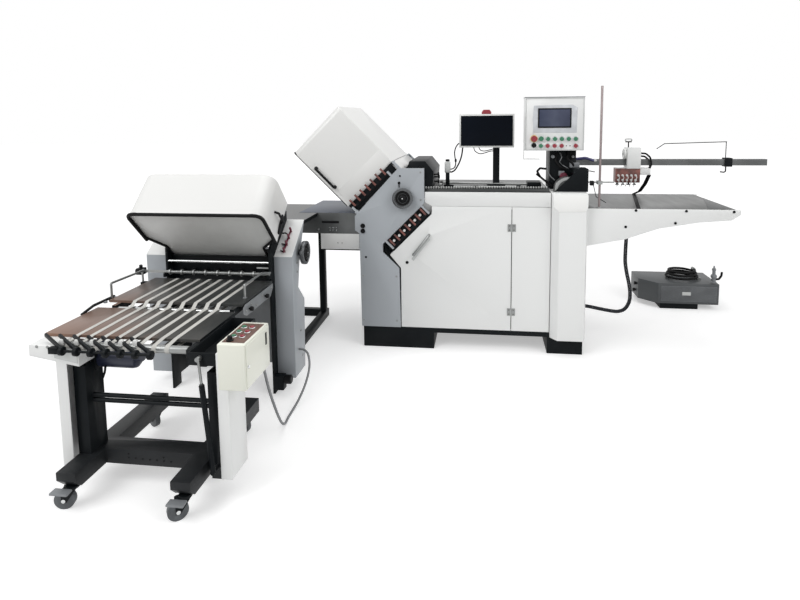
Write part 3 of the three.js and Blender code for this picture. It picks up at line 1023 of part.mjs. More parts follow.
// One unbroken hose wound into a low coil, each turn a little wider and higher than the last.
function coilGeometry() {
  const steps = coil.turns * coil.ringSteps;
  const point = (i) => {
    const angle = (i / coil.ringSteps) * Math.PI * 2;
    const turn = i / coil.ringSteps;
    const radius = coil.radius - turn * coil.spread;
    const z = pump.top + coil.lift + coil.tube + turn * coil.pitch;
    return new THREE.Vector3(coil.x + Math.cos(angle) * radius, coil.y + Math.sin(angle) * radius, z);
  };
  const positions = [];
  const faces = [];
  for (let i = 0; i <= steps; i += 1) {
    const centre = point(i);
    const along = point(i + 1).sub(point(i - 1)).normalize();
    const side = new THREE.Vector3(0, 0, 1).cross(along).normalize();
    const up = along.clone().cross(side);
    for (let k = 0; k < coil.ringSides; k += 1) {
      const angle = (k / coil.ringSides) * Math.PI * 2;
      const offset = side.clone().multiplyScalar(Math.cos(angle) * coil.tube).addScaledVector(up, Math.sin(angle) * coil.tube);
      positions.push(...centre.clone().add(offset).toArray());
    }
  }
  const ring = coil.ringSides;
  for (let i = 0; i < steps; i += 1) {
    for (let k = 0; k < ring; k += 1) {
      const a = i * ring + k;
      const b = i * ring + ((k + 1) % ring);
      faces.push(a, b, a + ring, b, b + ring, a + ring);
    }
  }
  const first = positions.length / 3;
  positions.push(...point(0).toArray(), ...point(steps).toArray());
  for (let k = 0; k < ring; k += 1) {
    const next = (k + 1) % ring;
    faces.push(first, next, k, first + 1, steps * ring + k, steps * ring + next);
  }
  const geometry = new THREE.BufferGeometry();
  geometry.setAttribute('position', new THREE.BufferAttribute(new Float32Array(positions), 3));
  geometry.setIndex(faces);
  const rise = Array.from({ length: steps - coil.ringSteps }, (_, i) => point(i).distanceTo(point(i + coil.ringSteps)));
  console.log(`least gap between turns ${(Math.min(...rise) - coil.tube * 2).toFixed(2)} mm`);
  return geometry;
}
add(line, 'pump_hose_coil', coilGeometry(), finish.rubber);

export default line;
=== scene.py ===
# %% [markdown]
# # A sheet folding line
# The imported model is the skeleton: its nodes are already in place, in metres, with the floor at zero. X runs
# along the line and Y points away from the operator. Everything below dresses one of those nodes, or adds a
# detail that rides on the same body, so that the joints still carry it.
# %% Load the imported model
import json
from math import cos, pi, radians, sin

import bpy
from mathutils import Matrix, Vector

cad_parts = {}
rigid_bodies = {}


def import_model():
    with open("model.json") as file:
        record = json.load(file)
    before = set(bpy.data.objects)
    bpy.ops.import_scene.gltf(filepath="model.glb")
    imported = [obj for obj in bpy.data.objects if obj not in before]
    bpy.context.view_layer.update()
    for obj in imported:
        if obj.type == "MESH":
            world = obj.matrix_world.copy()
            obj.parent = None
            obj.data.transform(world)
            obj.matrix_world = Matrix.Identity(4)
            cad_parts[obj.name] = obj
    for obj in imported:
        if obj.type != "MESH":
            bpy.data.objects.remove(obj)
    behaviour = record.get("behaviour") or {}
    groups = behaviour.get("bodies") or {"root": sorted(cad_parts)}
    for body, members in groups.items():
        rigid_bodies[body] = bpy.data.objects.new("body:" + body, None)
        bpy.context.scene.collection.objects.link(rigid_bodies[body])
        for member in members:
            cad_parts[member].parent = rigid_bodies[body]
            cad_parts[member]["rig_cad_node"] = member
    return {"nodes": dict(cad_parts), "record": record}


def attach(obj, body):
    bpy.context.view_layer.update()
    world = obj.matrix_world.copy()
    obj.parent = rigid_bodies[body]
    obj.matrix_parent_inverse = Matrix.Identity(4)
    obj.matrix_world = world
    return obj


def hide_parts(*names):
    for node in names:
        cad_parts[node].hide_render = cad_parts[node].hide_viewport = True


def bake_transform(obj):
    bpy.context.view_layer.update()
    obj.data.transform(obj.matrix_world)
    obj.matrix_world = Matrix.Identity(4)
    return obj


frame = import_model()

mesh = bpy.ops.mesh
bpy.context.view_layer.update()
OWNER = {node: body for body, nodes in frame["record"]["behaviour"]["bodies"].items() for node in nodes}

# %% [markdown]
# ## Camera
# A product picture is taken from a little above table height. The camera is built from three turns (yaw, pitch
# and roll) instead of a target point, because a lens shift then keeps the uprights straight as in a studio shot.
# %% Camera
yaw, pitch, roll = 0.128, 0.1103, -0.0094
forward = Vector((-sin(yaw) * cos(pitch), cos(yaw) * cos(pitch), -sin(pitch)))
level = Vector((cos(yaw), sin(yaw), 0))
upright = level.cross(forward)
across = cos(roll) * level + sin(roll) * upright
rise = cos(roll) * upright - sin(roll) * level
bpy.ops.object.camera_add()
camera = bpy.context.object
aim = Matrix((across, rise, -forward)).transposed().to_4x4()
camera.matrix_world = Matrix.Translation((0.53811, -3.81074, 1.45897)) @ aim
camera.data.sensor_width, camera.data.lens = 36, 25.336
camera.data.shift_x, camera.data.shift_y = -0.01486, -0.1483
bpy.context.scene.camera = camera
print("camera looks along", [round(v, 3) for v in forward])

# %% [markdown]
# ## Node helpers
# Every finish below is a small tree of shader nodes. An input that is given an output is linked to it, and one
# that is given a number or colour is set, so each node can be written on one line.
# %% Node helpers
def feed(tree, socket, value):
    if isinstance(value, bpy.types.NodeSocket):
        tree.links.new(value, socket)
    else:
        socket.default_value = value


def feed_all(tree, node, **inputs):
    """Feeds a node's inputs by name."""
    for name, value in inputs.items():
        feed(tree, node.inputs[name.replace("_", " ")], value)


def add_node(tree, kind, **inputs):
    node = tree.nodes.new("ShaderNode" + kind)
    feed_all(tree, node, **inputs)
    return node


def math_node(tree, operation, *values):
    """The result of a Math node, clamped where it adds."""
    node = add_node(tree, "Math")
    node.operation, node.use_clamp = operation, operation == "ADD"
    for socket, value in zip(node.inputs, values):
        feed(tree, socket, value)
    return node.outputs[0]


def new_material(name):
    """A material, its tree and its Principled shader."""
    material = bpy.data.materials.new(name)
    material.use_nodes = True
    return material, material.node_tree, material.node_tree.nodes["Principled BSDF"]


def seen_directly(tree):
    """A value of 1 for camera, reflection and glass rays and 0 for the rest."""
    rays = add_node(tree, "LightPath").outputs
    plain = math_node(tree, "ADD", rays["Is Camera Ray"], rays["Is Glossy Ray"])
    return math_node(tree, "ADD", plain, rays["Is Transmission Ray"])


print("node helpers")

# %% [markdown]
# ## Studio
# White machines need a light level at which white paint stays just below white. Two wide soft lamps give the
# top faces a little more than the fronts. The floor takes the shadow, and it looks white to the camera, to
# reflections and through glass only, so no extra light falls on the machine.
# %% Floor, sky and lamps
room_light, full_light, white = 0.42, 1.0, (1, 1, 1, 1)
world = bpy.data.worlds.new("studio_sky")
bpy.context.scene.world = world
world.use_nodes = True
sky = world.node_tree
tone = add_node(sky, "MapRange", Value=seen_directly(sky), To_Min=room_light, To_Max=full_light)
feed_all(sky, sky.nodes["Background"], Strength=tone.outputs[0], Color=white)

mesh.primitive_plane_add(size=60, location=(0.4, -0.4, 0))
floor = bpy.context.object
floor.name = "studio_floor"
floor_white, tree, paper = new_material("floor_white")
reach = add_node(tree, "VectorMath", Vector=add_node(tree, "TexCoord").outputs["Object"])
reach.operation = "LENGTH"
far = add_node(tree, "MapRange", Value=reach.outputs["Value"], From_Min=2.6, From_Max=5.0)
far.interpolation_type = "SMOOTHSTEP"
fade = add_node(tree, "Mix")
fade.data_type = "RGBA"
for socket, value in ((0, far.outputs[0]), (6, (0.84, 0.84, 0.84, 1)), (7, (0.25, 0.25, 0.25, 1))):
    feed(tree, fade.inputs[socket], value)
lift = add_node(tree, "MapRange", Value=far.outputs[0], To_Min=room_light, To_Max=full_light)
glow = math_node(tree, "MULTIPLY", seen_directly(tree), lift.outputs[0])
feed_all(tree, paper, Base_Color=fade.outputs[2], Emission_Color=white, Emission_Strength=glow, Roughness=1,
         Specular_IOR_Level=0)
floor.data.materials.append(floor_white)

for name, place, target, size, watts in (
    ("lamp_left", (-3.2, -4.6, 4.6), (0, 0, 0.6), 3.5, 170),
    ("lamp_right", (4.4, -3.6, 4.2), (0.6, 0, 0.6), 3.0, 100),
    ("lamp_top", (0.3, 0.4, 5.2), (0.3, 0, 0), 4.0, 72),
):
    bpy.ops.object.light_add(type="AREA", location=place)
    lamp = bpy.context.object
    lamp.name = name
    lamp.data.size, lamp.data.energy = size, watts
    lamp.rotation_euler = (Vector(target) - Vector(place)).to_track_quat("-Z", "Y").to_euler()
bpy.context.scene.view_settings.view_transform = "Standard"
print("floor and three lamps")

# %% [markdown]
# ## Finishes
# Most of the machine is painted sheet metal, and paint is never one flat value: large soft clouds of tone, a
# fine orange-peel bump and a roughness that drifts. One helper builds that tree from a few numbers, so every
# paint, plastic, rubber and metal differs in its numbers and not in its wiring. All patterns read Object
# coordinates, because every piece has its place in its mesh.
# %% Finishes
FINISH = {}


def linear(*rgb):
    """A tone as it is read off a picture, 0 to 255, made linear for the shader."""
    return tuple(((v / 255 + 0.055) / 1.055) ** 2.4 if v > 10 else v / 3294.6 for v in rgb) + (1.0,)


def colour_ramp(tree, value, stops):
    """A colour ramp with stops at (position, colour)."""
    ramp = add_node(tree, "ValToRGB", Fac=value)
    elements = ramp.color_ramp.elements
    for i, (position, colour) in enumerate(stops):
        stop = elements[i] if i < 2 else elements.new(position)
        stop.position, stop.color = position, colour
    return ramp.outputs[0]


def finish(name, tone, rough, cloud=3.0, drift=0.05, bump=0.02, grain=900.0, metal=0.0, run=(1, 1, 1), coat=0.0,
           spread=0.06, second=None, slot=None, shine=0.5):
    """A finish with clouds of tone, fine grain in bump and roughness, and a direction that the grain runs in."""
    material, tree, surface = new_material(name)
    place = add_node(tree, "TexCoord").outputs["Object"]
    turn = add_node(tree, "Mapping", Vector=place, Scale=run).outputs[0]
    clouds = add_node(tree, "TexNoise", Vector=place, Scale=cloud, Detail=4.0).outputs[0]
    fine = add_node(tree, "TexNoise", Vector=turn, Scale=grain, Detail=2.0).outputs[0]
    base = linear(*tone)
    other = linear(*second) if second else tuple(v * (1 - drift * 2) for v in base[:3]) + (1,)
    dull = add_node(tree, "MapRange", Value=fine, To_Min=max(rough - spread, 0.02), To_Max=min(rough + spread, 1))
    if bump:
        relief = add_node(tree, "Bump", Strength=bump, Distance=0.001, Height=fine)
        feed_all(tree, surface, Normal=relief.outputs[0])
    feed_all(tree, surface, Base_Color=colour_ramp(tree, clouds, ((0.36, other), (0.64, base))),
             Roughness=dull.outputs[0], Metallic=metal, Coat_Weight=coat, Specular_IOR_Level=shine)
    FINISH[name] = (material, slot or name)


# Name, tone, roughness, then size of the clouds, their drift, bump, fineness of its grain, metal and run.
finish("white_paint", (238, 239, 238), 0.34, 1.4, 0.012, 0.04, coat=0.12)
finish("cream_paint", (240, 241, 229), 0.36, 2, 0.02, 0.05, coat=0.1)
finish("hood_white", (231, 231, 229), 0.3, 1.2, 0.012, 0.06, 500, coat=0.2)
finish("grey_paint", (172, 177, 182), 0.42, 2, 0.04, 0.1, 700, coat=0.05)
finish("slate_paint", (66, 76, 94), 0.4, 3, 0.05, 0.1, 600)
finish("pale_plate", (196, 198, 197), 0.36, 4, 0.04, 0.04, 240, 0.35, (1, 9, 9))
finish("black_paint", (13, 17, 20), 0.42, 5, 0.12, 0.12, 800, second=(23, 26, 28), shine=0.1)
# A lighter copy of the black paint: painted light, used on the low faces of the delivery base.
finish("charcoal_paint", (26, 28, 30), 0.42, 5, 0.12, 0.12, 800, second=(36, 38, 40), shine=0.2, slot="black_paint")
finish("brushed", (150, 152, 151), 0.34, 6, 0.08, 0.08, 160, 0.75, (1, 30, 30))
finish("chrome", (205, 207, 207), 0.14, 12, 0.03, 0.01, 300, 1.0)
finish("copper", (134, 84, 76), 0.38, 30, 0.12, 0.05, metal=0.3, second=(92, 62, 58))
finish("rod_brown", (138, 126, 126), 0.3, 3, 0.08, 0.03, 300, 0.6, slot="brushed")
finish("wheel_metal", (94, 96, 98), 0.24, 6, 0.06, 0.04, 200, 0.8, slot="brushed")
finish("beam_grey", (88, 90, 90), 0.36, 3, 0.14, 0.05, 200, 0.3, (1, 9, 9), second=(120, 122, 122),
       slot="black_paint")
finish("dark_steel", (58, 60, 60), 0.36, 5, 0.14, 0.08, 260, 0.4, (9, 1, 9), second=(64, 66, 66), slot="black_paint")
finish("cast_grey", (132, 135, 138), 0.44, 9, 0.08, 0.2, slot="grey_paint")
finish("pump_grey", (78, 81, 83), 0.46, 5, 0.08, 0.2, slot="black_paint")
finish("motor_navy", (38, 44, 66), 0.38, 9, 0.1, 0.1, slot="black_paint")
# A white brighter than the white paint: painted light, on white covers that sit in shade.
finish("cover_white", (253, 253, 251), 0.4, 2, 0.012, 0.04, slot="white_paint")
finish("white_plastic", (226, 227, 225), 0.38, 20, 0.02, 0.05, coat=0.1, slot="white_paint")
finish("wine_plastic", (112, 26, 52), 0.34, 40, 0.1, 0.03, coat=0.2, slot="red_plastic")
finish("red_plastic", (146, 28, 46), 0.28, 40, 0.06, coat=0.3)
finish("green_plastic", (40, 116, 82), 0.28, 40, 0.06, coat=0.3)
finish("yellow_plastic", (232, 190, 60), 0.35, 30, coat=0.2, slot="cream_paint")
finish("black_plastic", (15, 16, 18), 0.4, 20, 0.12, 0.1, 1400, shine=0.15)
finish("board_label", (104, 74, 62), 0.42, 40, 0.1, 0.05, slot="copper")
finish("rubber", (17, 17, 18), 0.62, 12, 0.12, 0.25, 1200, shine=0.15)
finish("hose_dark", (50, 52, 56), 0.5, 12, 0.12, 0.1, 1200, shine=0.2, slot="rubber")
finish("hose_blue", (46, 46, 104), 0.4, 9, 0.08, 0.05, slot="grey_cable")
finish("grey_cable", (132, 134, 136), 0.55, 10, 0.06, 0.15, 1500)
finish("wheel_grey", (92, 96, 99), 0.52, 20, 0.1, 0.15, second=(74, 77, 80))
finish("tape_white", (202, 201, 196), 0.7, 8, 0.05, 0.3, run=(1, 0.2, 1), slot="white_paint")
finish("dark_glass", (12, 18, 28), 0.08, 3, 0.2, 0, 300, spread=0.02, shine=0.05, slot="black_plastic")
finish("film", (214, 217, 221), 0.16, 14, 0.1, 0.3, 60, coat=0.5, slot="white_paint")
print(len(FINISH), "finishes")

# %% [markdown]
# The delivery boards are polished steel sheets. The room that they mirror is painted into their colour as a
# painted reflection, brown at the left and dark grey at the right, with long soft streaks. A colour ramp across X
# with streaky noise on top gives that reading.
# %% Board, screen and feed table finishes
def board_finish(name, left, right, tones, slot, slant=0.0):
    """A sheet whose tone runs from one side to the other, slanted along Y, and broken up by streaks."""
    material, tree, surface = new_material(name)
    place = add_node(tree, "TexCoord").outputs["Object"]
    split = add_node(tree, "SeparateXYZ", Vector=place).outputs
    lean = math_node(tree, "MULTIPLY_ADD", split["Y"], slant, split["X"])
    side = add_node(tree, "MapRange", Value=lean, From_Min=left, From_Max=right).outputs[0]
    turn = add_node(tree, "Mapping", Vector=place, Scale=(9, 1.6, 9)).outputs[0]
    streak = add_node(tree, "TexNoise", Vector=turn, Scale=2.2, Detail=5.0).outputs[0]
    mixed = math_node(tree, "ADD", side, math_node(tree, "MULTIPLY_ADD", streak, 0.5, -0.25))
    dull = add_node(tree, "MapRange", Value=streak, To_Min=0.24, To_Max=0.42).outputs[0]
    colour = colour_ramp(tree, mixed, [(position, linear(*rgb)) for position, rgb in tones])
    feed_all(tree, surface, Base_Color=colour, Roughness=dull, Metallic=0.3, Specular_IOR_Level=0.2)
    FINISH[name] = (material, slot)


# Painted reflection: the boards' ramp from brown to dark grey and their streaks stand for the mirrored room.
board_finish("board_brown", -2.30, -1.55, ((0.0, (134, 104, 88)), (0.42, (112, 92, 82)), (0.62, (78, 76, 73)),
                                           (1.0, (56, 58, 58))), "board_brown", slant=0.6)
# The feed table's steel is darkest at its left end: painted shade.
board_finish("feed_steel", 1.15, 2.0, ((0.0, (48, 50, 50)), (0.5, (80, 81, 80)), (1.0, (74, 75, 74))), "brushed")
board_finish("screen_glass", 0.86, 1.07, ((0.0, (60, 66, 86)), (0.5, (80, 85, 103)), (1.0, (56, 60, 78))),
             "black_plastic")
print("boards and screen")

# %% [markdown]
# ## Hand tools
# A few helpers do what a hand does in the window: add a primitive at its size and place, shape it in edit mode,
# round its edges and leave the object at the origin with its place in its mesh. Sizes are in millimetres here.
# %% Picking and shaping
def only(*objects):
    """Selects these objects alone and makes the first active."""
    bpy.ops.object.select_all(action="DESELECT")
    for piece in objects:
        piece.select_set(True)
    bpy.context.view_layer.objects.active = objects[0]


def edit(piece, *steps):
    """Edit mode on the whole piece, with each step an operator and its settings."""
    only(piece)
    bpy.ops.object.mode_set(mode="EDIT")
    mesh.select_all(action="SELECT")
    for operator, settings in steps:
        operator(**settings)
    bpy.ops.object.mode_set(mode="OBJECT")
    return piece


def on_edges(piece, chosen, operator, **settings):
    """Edit mode on the edges that a test picks."""
    edit(piece, (mesh.select_mode, dict(type="EDGE")))
    for part in (piece.data.vertices, piece.data.edges, piece.data.polygons):
        part.foreach_set("select", [False] * len(part))
    for line in piece.data.edges:
        line.select = chosen(line)
    bpy.ops.object.mode_set(mode="EDIT")
    operator(**settings)
    bpy.ops.object.mode_set(mode="OBJECT")


def rounded(piece, edge, segments=2):
    settings = dict(offset=edge / 1000, segments=segments, affect="EDGES")
    return edit(piece, (mesh.bevel, settings)) if edge else piece


def apply_modifier(piece, kind, **settings):
    """Adds a modifier to the piece in hand and applies it."""
    modifier = piece.modifiers.new("step", kind)
    for name, value in settings.items():
        setattr(modifier, name, value)
    bpy.ops.object.modifier_apply(modifier="step")


print("tools for picking and shaping")

# %% Block, plate and lathe part
AXES = {"x": (1, 2, 0), "y": (0, 2, 1), "z": (0, 1, 2)}


def block(low, high, edge=1.5, segments=2):
    """A block between two corners, with its edges rounded."""
    low, high = Vector(low) / 1000, Vector(high) / 1000
    mesh.primitive_cube_add(size=1, location=(low + high) / 2, scale=high - low)
    bpy.ops.object.transform_apply()
    return rounded(bpy.context.object, edge, segments)


def spot(axis, a, b, c):
    """The point with a and b in the plane across an axis, and c along it, in millimetres."""
    place = [0, 0, 0]
    for slot, value in zip(AXES[axis], (a, b, c)):
        place[slot] = value / 1000
    return Vector(place)


def pulled_out(places, shift, **circle):
    """An outline through the places, as a ring or a face, that is pulled out by a shift."""
    mesh.primitive_circle_add(vertices=len(places), **circle)
    piece = bpy.context.object
    for vertex, place in zip(piece.data.vertices, places):
        vertex.co = place
    edit(piece, (mesh.extrude_region_move, dict(TRANSFORM_OT_translate={"value": shift})))
    return edit(piece, (mesh.normals_make_consistent, {}))


def sheet_cut(outline, axis, low, high, edge=1.5, segments=2):
    """A plate cut to an outline and pulled out along an axis from low to high."""
    places = [spot(axis, a, b, low) for a, b in outline]
    return rounded(pulled_out(places, spot(axis, 0, 0, high - low), fill_type="NGON"), edge, segments)


def turned(profile, axis, centre, steps=28, ring=False):
    """A lathe part. Its half section, as (radius, place along the axis), is spun round the axis.

    The section of a solid part is led to the axis at both ends, and the edge on the axis is left out."""
    if not ring:
        ends = [[(0, along)] if radius else [] for radius, along in (profile[0], profile[-1])]
        profile = [*ends[0], *profile, *ends[1]]
    mesh.primitive_circle_add(vertices=len(profile))
    piece = bpy.context.object
    centre = Vector(centre) / 1000
    for vertex, (radius, along) in zip(piece.data.vertices, profile):
        vertex.co = centre + spot(axis, radius, 0, along)
    if not ring:
        on_edges(piece, lambda line: line.index == len(profile) - 1, mesh.delete, type="EDGE")
    edit(piece, (mesh.spin, dict(steps=steps, angle=2 * pi, center=centre, axis=spot(axis, 0, 0, 1000))))
    edit(piece, (mesh.remove_doubles, dict(threshold=1e-6)), (mesh.normals_make_consistent, {}))
    bpy.ops.object.shade_smooth_by_angle(angle=radians(35))
    return piece


print("tools for blocks, plates and lathe parts")

# %% [markdown]
# The fold units' rollers climb a slope of 45 degrees, so what sits on them is made square in the bank's own frame
# and then leaned. Each piece is joined from its parts, tinted, leaned if need be and given its body in one call.
# %% Finish, lean and body
def bank(number):
    """The leaning frame of a fold unit: X up the slope of the rollers, Z along the plates."""
    if number == 1:
        return Matrix.Translation((0.0413, 0, 0.973)) @ Matrix.Rotation(-pi / 4, 4, "Y")
    half = 0.5 ** 0.5
    slope = Matrix(((0, -1, 0), (half, 0, -half), (half, 0, half))).to_4x4()
    return Matrix.Translation((-0.866, -0.885, 0.737)) @ slope


def tint(piece, name, smooth=35):
    """Gives a piece its finish and shades it smooth up to an angle."""
    only(piece)
    bpy.ops.object.shade_smooth_by_angle(angle=radians(smooth))
    piece.data.materials.clear()
    piece.data.materials.append(FINISH[name][0])
    return piece


def joined(name, *ready, lean=0, **finishes):
    """Joins parts into one named piece. Each finish is given the part, or the parts, that it goes on."""
    parts = list(ready)
    for finish_name, group in finishes.items():
        parts += [tint(part, finish_name) for part in (group if isinstance(group, list) else [group])]
    only(*parts)
    if len(parts) > 1:
        bpy.ops.object.join()
    piece = bpy.context.object
    piece.name = piece.data.name = name
    if lean:
        piece.data.transform(bank(lean))
    return piece


def fit(name, *ready, body="machine", **parts):
    """A joined piece that rides on a body."""
    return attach(joined(name, *ready, **parts), body)


print("tools for finish, lean and body")

# %% [markdown]
# ## Cords and hoses
# These come first, because a cord's length and room decide whether the solids can stay. The delivery's cable
# leaves the back of its control box, hangs in a low loop over the floor and goes into the second unit. The
# twin hose drops from the feed table and turns in behind the corner column. The pump's hose lies coiled on it.
# %% Routes and lengths
def line_curve(points, radius, sides=4, order=3):
    """A curve object along the points, with a round section."""
    bpy.ops.curve.primitive_nurbs_path_add()
    curve = bpy.context.object
    data = curve.data
    data.splines.clear()
    spline = data.splines.new("NURBS")
    spline.points.add(len(points) - 1)
    for point, place in zip(spline.points, points):
        point.co = (*(Vector(place) / 1000), 1)
    spline.order_u, spline.use_endpoint_u, spline.resolution_u = order, True, 4
    data.bevel_depth, data.bevel_resolution, data.use_fill_caps = radius / 1000, sides, True
    curve.location = (0, 0, 0)
    return curve


def smooth_route(points, step=14):
    """Evenly close points along a soft curve through the given ones, so that a cord has no corners."""
    points = [Vector(p) for p in points]
    fine = []
    for i in range(len(points) - 1):
        a, b = points[i], points[i + 1]
        before, after = points[max(i - 1, 0)], points[min(i + 2, len(points) - 1)]
        count = max(2, round((b - a).length / step))
        for k in range(count):
            t = k / count
            fine.append(0.5 * (2 * a + (b - before) * t + (2 * before - 5 * a + 4 * b - after) * t * t
                               + (3 * a - before - 3 * b + after) * t ** 3))
    return [*fine, points[-1]]


def cord(name, line, radius, finish_name, node=None, sides=4, order=2):
    """A cord along a line of points. It stands for a node where it has one."""
    curve = line_curve(line, radius, sides, order)
    curve.name = name
    curve.data.materials.append(FINISH[finish_name][0])
    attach(curve, "machine")
    if node:
        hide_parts(node)


print("tools for cords")

# %% Delivery cable and twin feeder hose
cable_route = [(-345, -1779.7, 556), (-345, -1768, 556), (-346, -1740, 520), (-350, -1700, 440), (-358, -1640, 330),
               (-368, -1560, 210), (-380, -1480, 110), (-392, -1410, 45), (-402, -1350, 14), (-410, -1290, 7),
               (-410, -1230, 10), (-400, -1160, 32), (-388, -1090, 76), (-385, -1030, 122), (-392, -990, 160),
               (-412, -956, 194), (-436, -942, 206), (-452, -940, 208), (-465.7, -940, 208)]
cord("delivery_cable_finished", smooth_route(cable_route), 6, "grey_cable", "delivery_cable")

hose_route = [(1467, 895.2), (1467, 840), (1466, 740), (1464, 660), (1462, 580), (1463, 510), (1474, 440),
              (1490, 370), (1500, 300), (1495, 240), (1468, 192), (1425, 174), (1370, 178), (1300, 190),
              (1230, 203), (1185, 206), (1156.6, 206)]
hose_line = smooth_route([(x, -40, z) for x, z in hose_route])
for name, node, shift in (("feeder_hose_finished", "feeder_hose", -6.1), ("feeder_hose_second", None, 6.1)):
    strand = []
    for i, place in enumerate(hose_line):
        along = (hose_line[min(i + 1, len(hose_line) - 1)] - hose_line[max(i - 1, 0)]).normalized()
        strand.append(place + Vector((along.z, 0, -along.x)) * shift)
    cord(name, strand, 6, "hose_dark", node)

# %% Pump hose coil
turns, steps, widest, narrowing, lid, rise = 3, 24, 118, 9, 208.1, 22
coil_line = []
for i in range(turns * steps + 1):
    turn = i / steps
    reach = widest - narrowing * turn
    x, y = 2075 + reach * cos(2 * pi * turn), 715 + reach * sin(2 * pi * turn)
    coil_line.append(Vector((x, y, lid + rise * turn)))
inlet = turned([(12, 676), (13, 679), (13, 692), (10, 694), (10, 712), (11, 714.6)], "y", (2193, 0, lid), 20)
fit("coil_inlet", brushed=inlet, black_plastic=block((2182, 678, 200.2), (2204, 704, 207), 1))
end = turned([(11, 715.4), (11, 719), (9.6, 720), (9.6, 740), (13, 742), (13, 752), (8, 754), (8, 762)], "y",
             (2166, 0, 274.1), 20)
coupling = fit("coil_coupling", brushed=end)
cord("pump_hose_coil_finished", coil_line, 9, "rubber", "pump_hose_coil", order=3)

# %% [markdown]
# ## Painted nodes
# Sheet metal edges are folded or broken, never razor sharp, and the bright line along a rounded edge is what
# makes a panel read as metal. Each node is copied, its triangles merged into faces, its sharp edges rounded,
# and the copy stands for the node. The width of the rounding follows the part: wide on castings, fine on sheet.
# %% Nodes that need a finish and rounded edges
def dress(node, name, edge):
    """A merged copy of a CAD node with rounded edges and a finish, which stands for the node."""
    only(frame["nodes"][node])
    bpy.ops.object.duplicate()
    piece = bpy.context.object
    del piece["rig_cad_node"]
    piece.name = piece.data.name = node + "_finished"
    edit(piece, (mesh.remove_doubles, dict(threshold=1e-5)), (mesh.dissolve_limited, dict(angle_limit=radians(0.6))))
    apply_modifier(piece, "BEVEL", width=edge / 1000, segments=2, angle_limit=radians(30), use_clamp_overlap=True)
    tint(piece, name, 40)
    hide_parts(node)
    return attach(piece, OWNER[node])


ROUNDING = dict(
    black_paint=dict(machine_base=3, feeder_beam=2, transfer_stand=3, fold_frame_2=2, fork_rack=1.2, delivery_base=4,
                     gas_spring_cylinder=0.8),
    white_paint=dict(cabinet_shell=2, cabinet_door=2.5, front_fascia=2.5, corner_column=5, feeder_brackets=2.5,
                     control_cabinet=4, separator_head=3, delivery_leg_left=4, delivery_leg_right=4),
    grey_paint=dict(fold_frame_1=3, housing_right_2=5, housing_left_2=5),
    cream_paint=dict(delivery_control_box=4), pump_grey=dict(vacuum_pump=5), white_plastic=dict(display_monitor=4),
    dark_steel=dict(register_table=1.2, wire_guide=0.6, transfer_table=2), feed_steel=dict(feeder_table=2),
    # The delivery boards carry the painted reflection finish.
    board_brown=dict(upper_delivery_board=1.5, lower_delivery_board=1.5),
    pale_plate=dict(upper_fold_plates_1=1.5, lower_fold_plates_1=1.5, upper_fold_plates_2=1.5),
    brushed=dict(suction_drum=1.5, slitter_shaft=0.8, front_delivery_roller=0.6, gas_spring_rod=0.5),
    chrome=dict(mid_delivery_roller=0.6), wheel_metal=dict(handwheel_1=2, handwheel_2=2),
    black_plastic=dict(fold_roller_1=0.8, fold_roller_2=0.8, selector_switch=1, height_screw=0.6),
    copper=dict(upper_levers_1=1, lower_levers_1=1), wine_plastic=dict(levers_2=1),
    red_plastic=dict(emergency_stop=1.5), green_plastic=dict(start_button=1.5),
)
CORNERS = ("front_left", "front_right", "rear_left", "rear_right")
DRESSED = {node: dress(node, name, edge) for name, edges in ROUNDING.items() for node, edge in edges.items()}
for corner in CORNERS:
    DRESSED["fork_" + corner] = dress("castor_fork_" + corner, "black_paint", 1.2)
    DRESSED["wheel_" + corner] = dress("castor_wheel_" + corner, "wheel_grey", 1.5)
print(len(DRESSED), "nodes dressed")

# %% [markdown]
# A few nodes carry two finishes, such as a black guard on a steel table. Their faces are picked by place, in
# millimetres, or by the way they look, and given a second material. Three second finishes are painted light and
# shade: a lighter black low on the delivery base, white on the slanted heads of the grey housings and a darker
# grey on a shaded cover of the second unit's frame.
# %% Second finishes on parts of a node
def accent(piece, name, test):
    """A second finish on the faces that pass a test by place, in millimetres, and normal."""
    piece.data.materials.append(FINISH[name][0])
    for face in piece.data.polygons:
        if test(face.center * 1000, face.normal):
            face.material_index = len(piece.data.materials) - 1
    return piece


ALL = (-9e9, 9e9)


def inside(x=ALL, y=ALL, z=ALL):
    """A test that a face's middle lies between limits."""
    return lambda place, normal: all(low <= v <= high for v, (low, high) in zip(place, (x, y, z)))


def sloped(place, normal):
    """A test for the slanted faces at the head of a housing, whose white is painted light on the grey housing."""
    return normal.y < -0.2 and normal.z > 0.2


